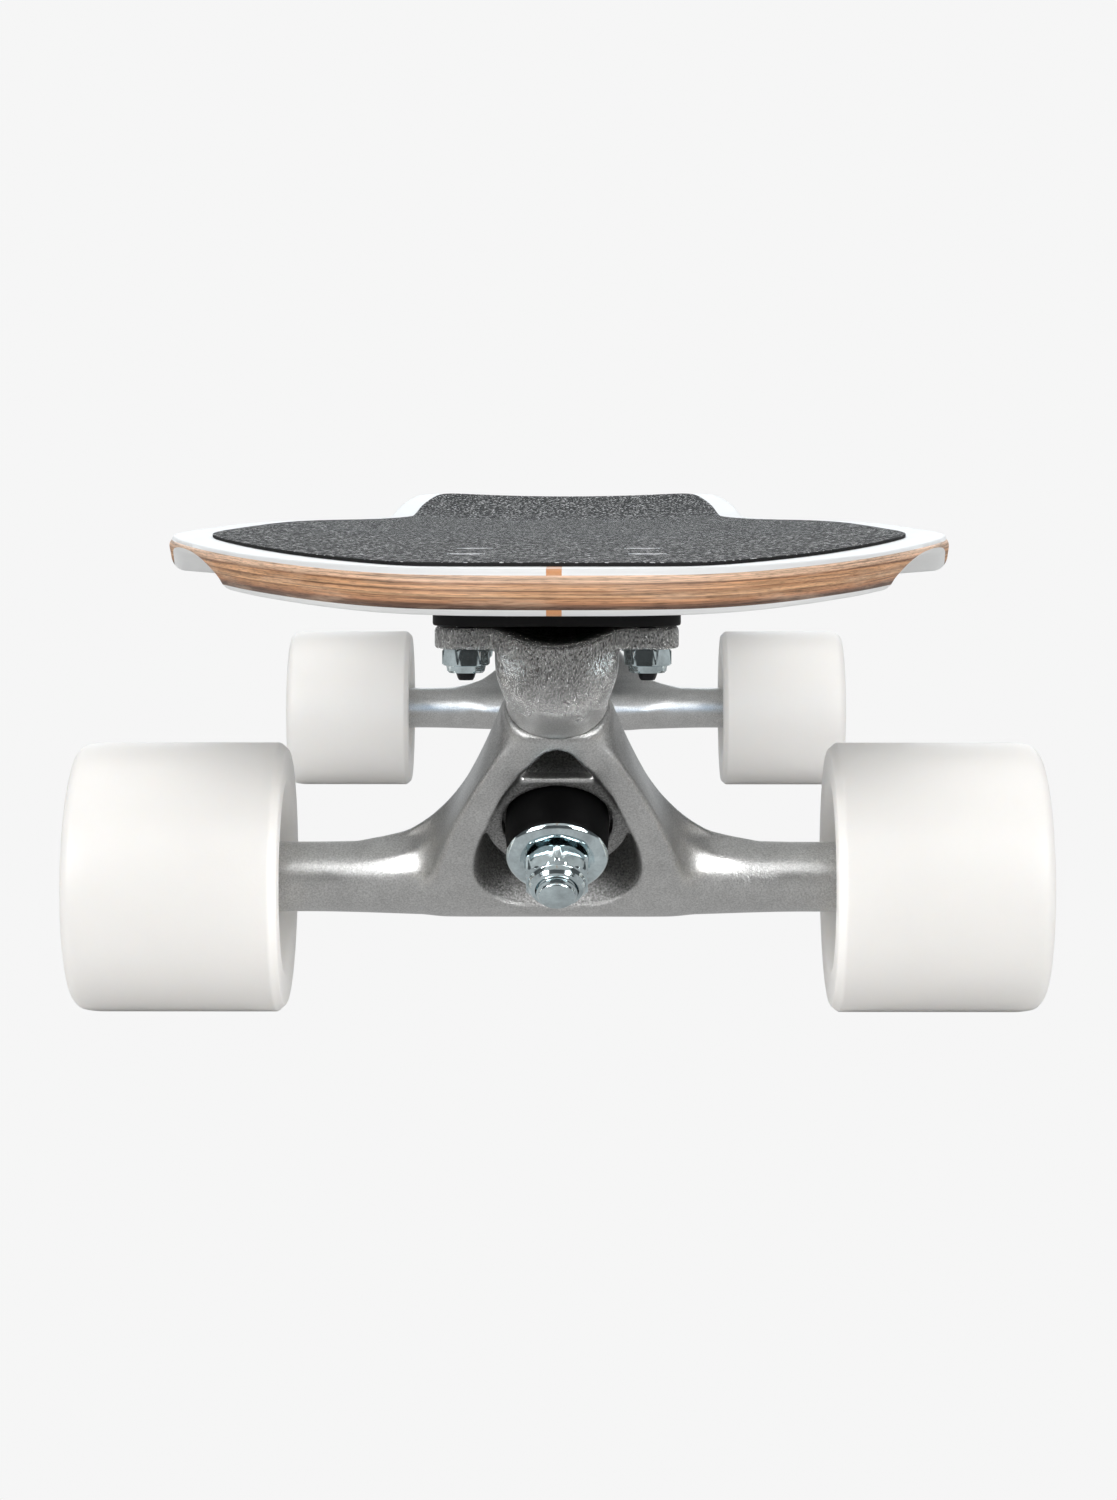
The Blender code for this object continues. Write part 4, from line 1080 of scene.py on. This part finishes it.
def studio_world():
    """A pale world, brighter in diffuse light than in reflections."""
    world = bpy.data.worlds.new("studio")
    bpy.context.scene.world = world
    world.use_nodes = True
    world.node_tree.nodes.clear()
    add = adder(world.node_tree)
    path = add("LightPath")
    # bright behind the board, like a white backdrop, and dark on the camera's side
    back = add("SeparateXYZ", Vector=add("TexCoord").outputs["Generated"]).outputs[1]
    level = add("MapRange", Value=back, From_Min=0.80, From_Max=0.98, To_Min=0.10, To_Max=0.9).outputs[0]
    power = add("Math", _operation="MULTIPLY_ADD", _0=path.outputs["Is Diffuse Ray"], _1=0.31, _2=level)
    lit = add("Background", Color=(0.95, 0.98, 1.0, 1), Strength=power.outputs[0])
    seen = add("Background", Color=(BACKDROP, BACKDROP, BACKDROP, 1))
    both = add("MixShader", _0=path.outputs["Is Camera Ray"], _1=lit.outputs[0], _2=seen.outputs[0])
    add("OutputWorld", Surface=both.outputs[0])


def softbox(name, spot, aim, size, power, colour=(1, 1, 1), matt=True, shiny=True):
    """A rectangular lamp. Without matt it shows only in shiny surfaces, and without shiny not in them."""
    data = bpy.data.lights.new(name, "AREA")
    data.shape = "RECTANGLE"
    data.size, data.size_y = size
    data.energy = power
    data.color = colour
    lamp = new_object(name, data)
    lamp.location = spot
    lamp.rotation_euler = (Vector(aim) - Vector(spot)).to_track_quat("-Z", "Y").to_euler()
    lamp.visible_diffuse, lamp.visible_glossy = matt, shiny
    lamp.visible_camera = False


pale_floor()
studio_world()
softbox("front_top", (0.0, -1.7, 1.15), (0, -0.25, 0.05), (2.2, 0.45), 15.5)
softbox("top_box", (0.0, 0.0, 1.8), (0, 0.0, 0.05), (2.0, 1.6), 17.5)
softbox("back_low", (0.0, 1.9, 0.8), (0, 0.3, 0.05), (2.4, 0.5), 8, (0.85, 0.94, 1.0))
softbox("rear_fill", (0, -0.12, 0.02), (0, 0.3, 0.03), (0.5, 0.05), 0.18, shiny=False)
softbox("rear_shine", (0, -0.12, 0.05), (0, 0.3, 0.04), (0.5, 0.2), 0.3, (0.3, 0.62, 1.0), matt=False)
for sx in (-1, 1):
    softbox(f"side_{sx}", (sx * 1.45, -0.85, 0.14), (0, -0.3, 0.05), (0.4, 0.25), 4, shiny=False)
    # a small lamp beside the hanger lights the front wheel's inner face
    spot, aim = (sx * 0.028, -0.345, 0.038), (sx * 0.0655, -0.33, 0.036)
    softbox(f"inner_{sx}", spot, aim, (0.02, 0.04), 0.011, shiny=False)
    softbox(f"shine_{sx}", (sx * 1.0, -1.3, 0.48), (0, -0.3, 0.05), (0.75, 0.6), 21, matt=False)

bpy.context.scene.view_settings.view_transform = "Standard"
bpy.context.scene.view_settings.look = "None"
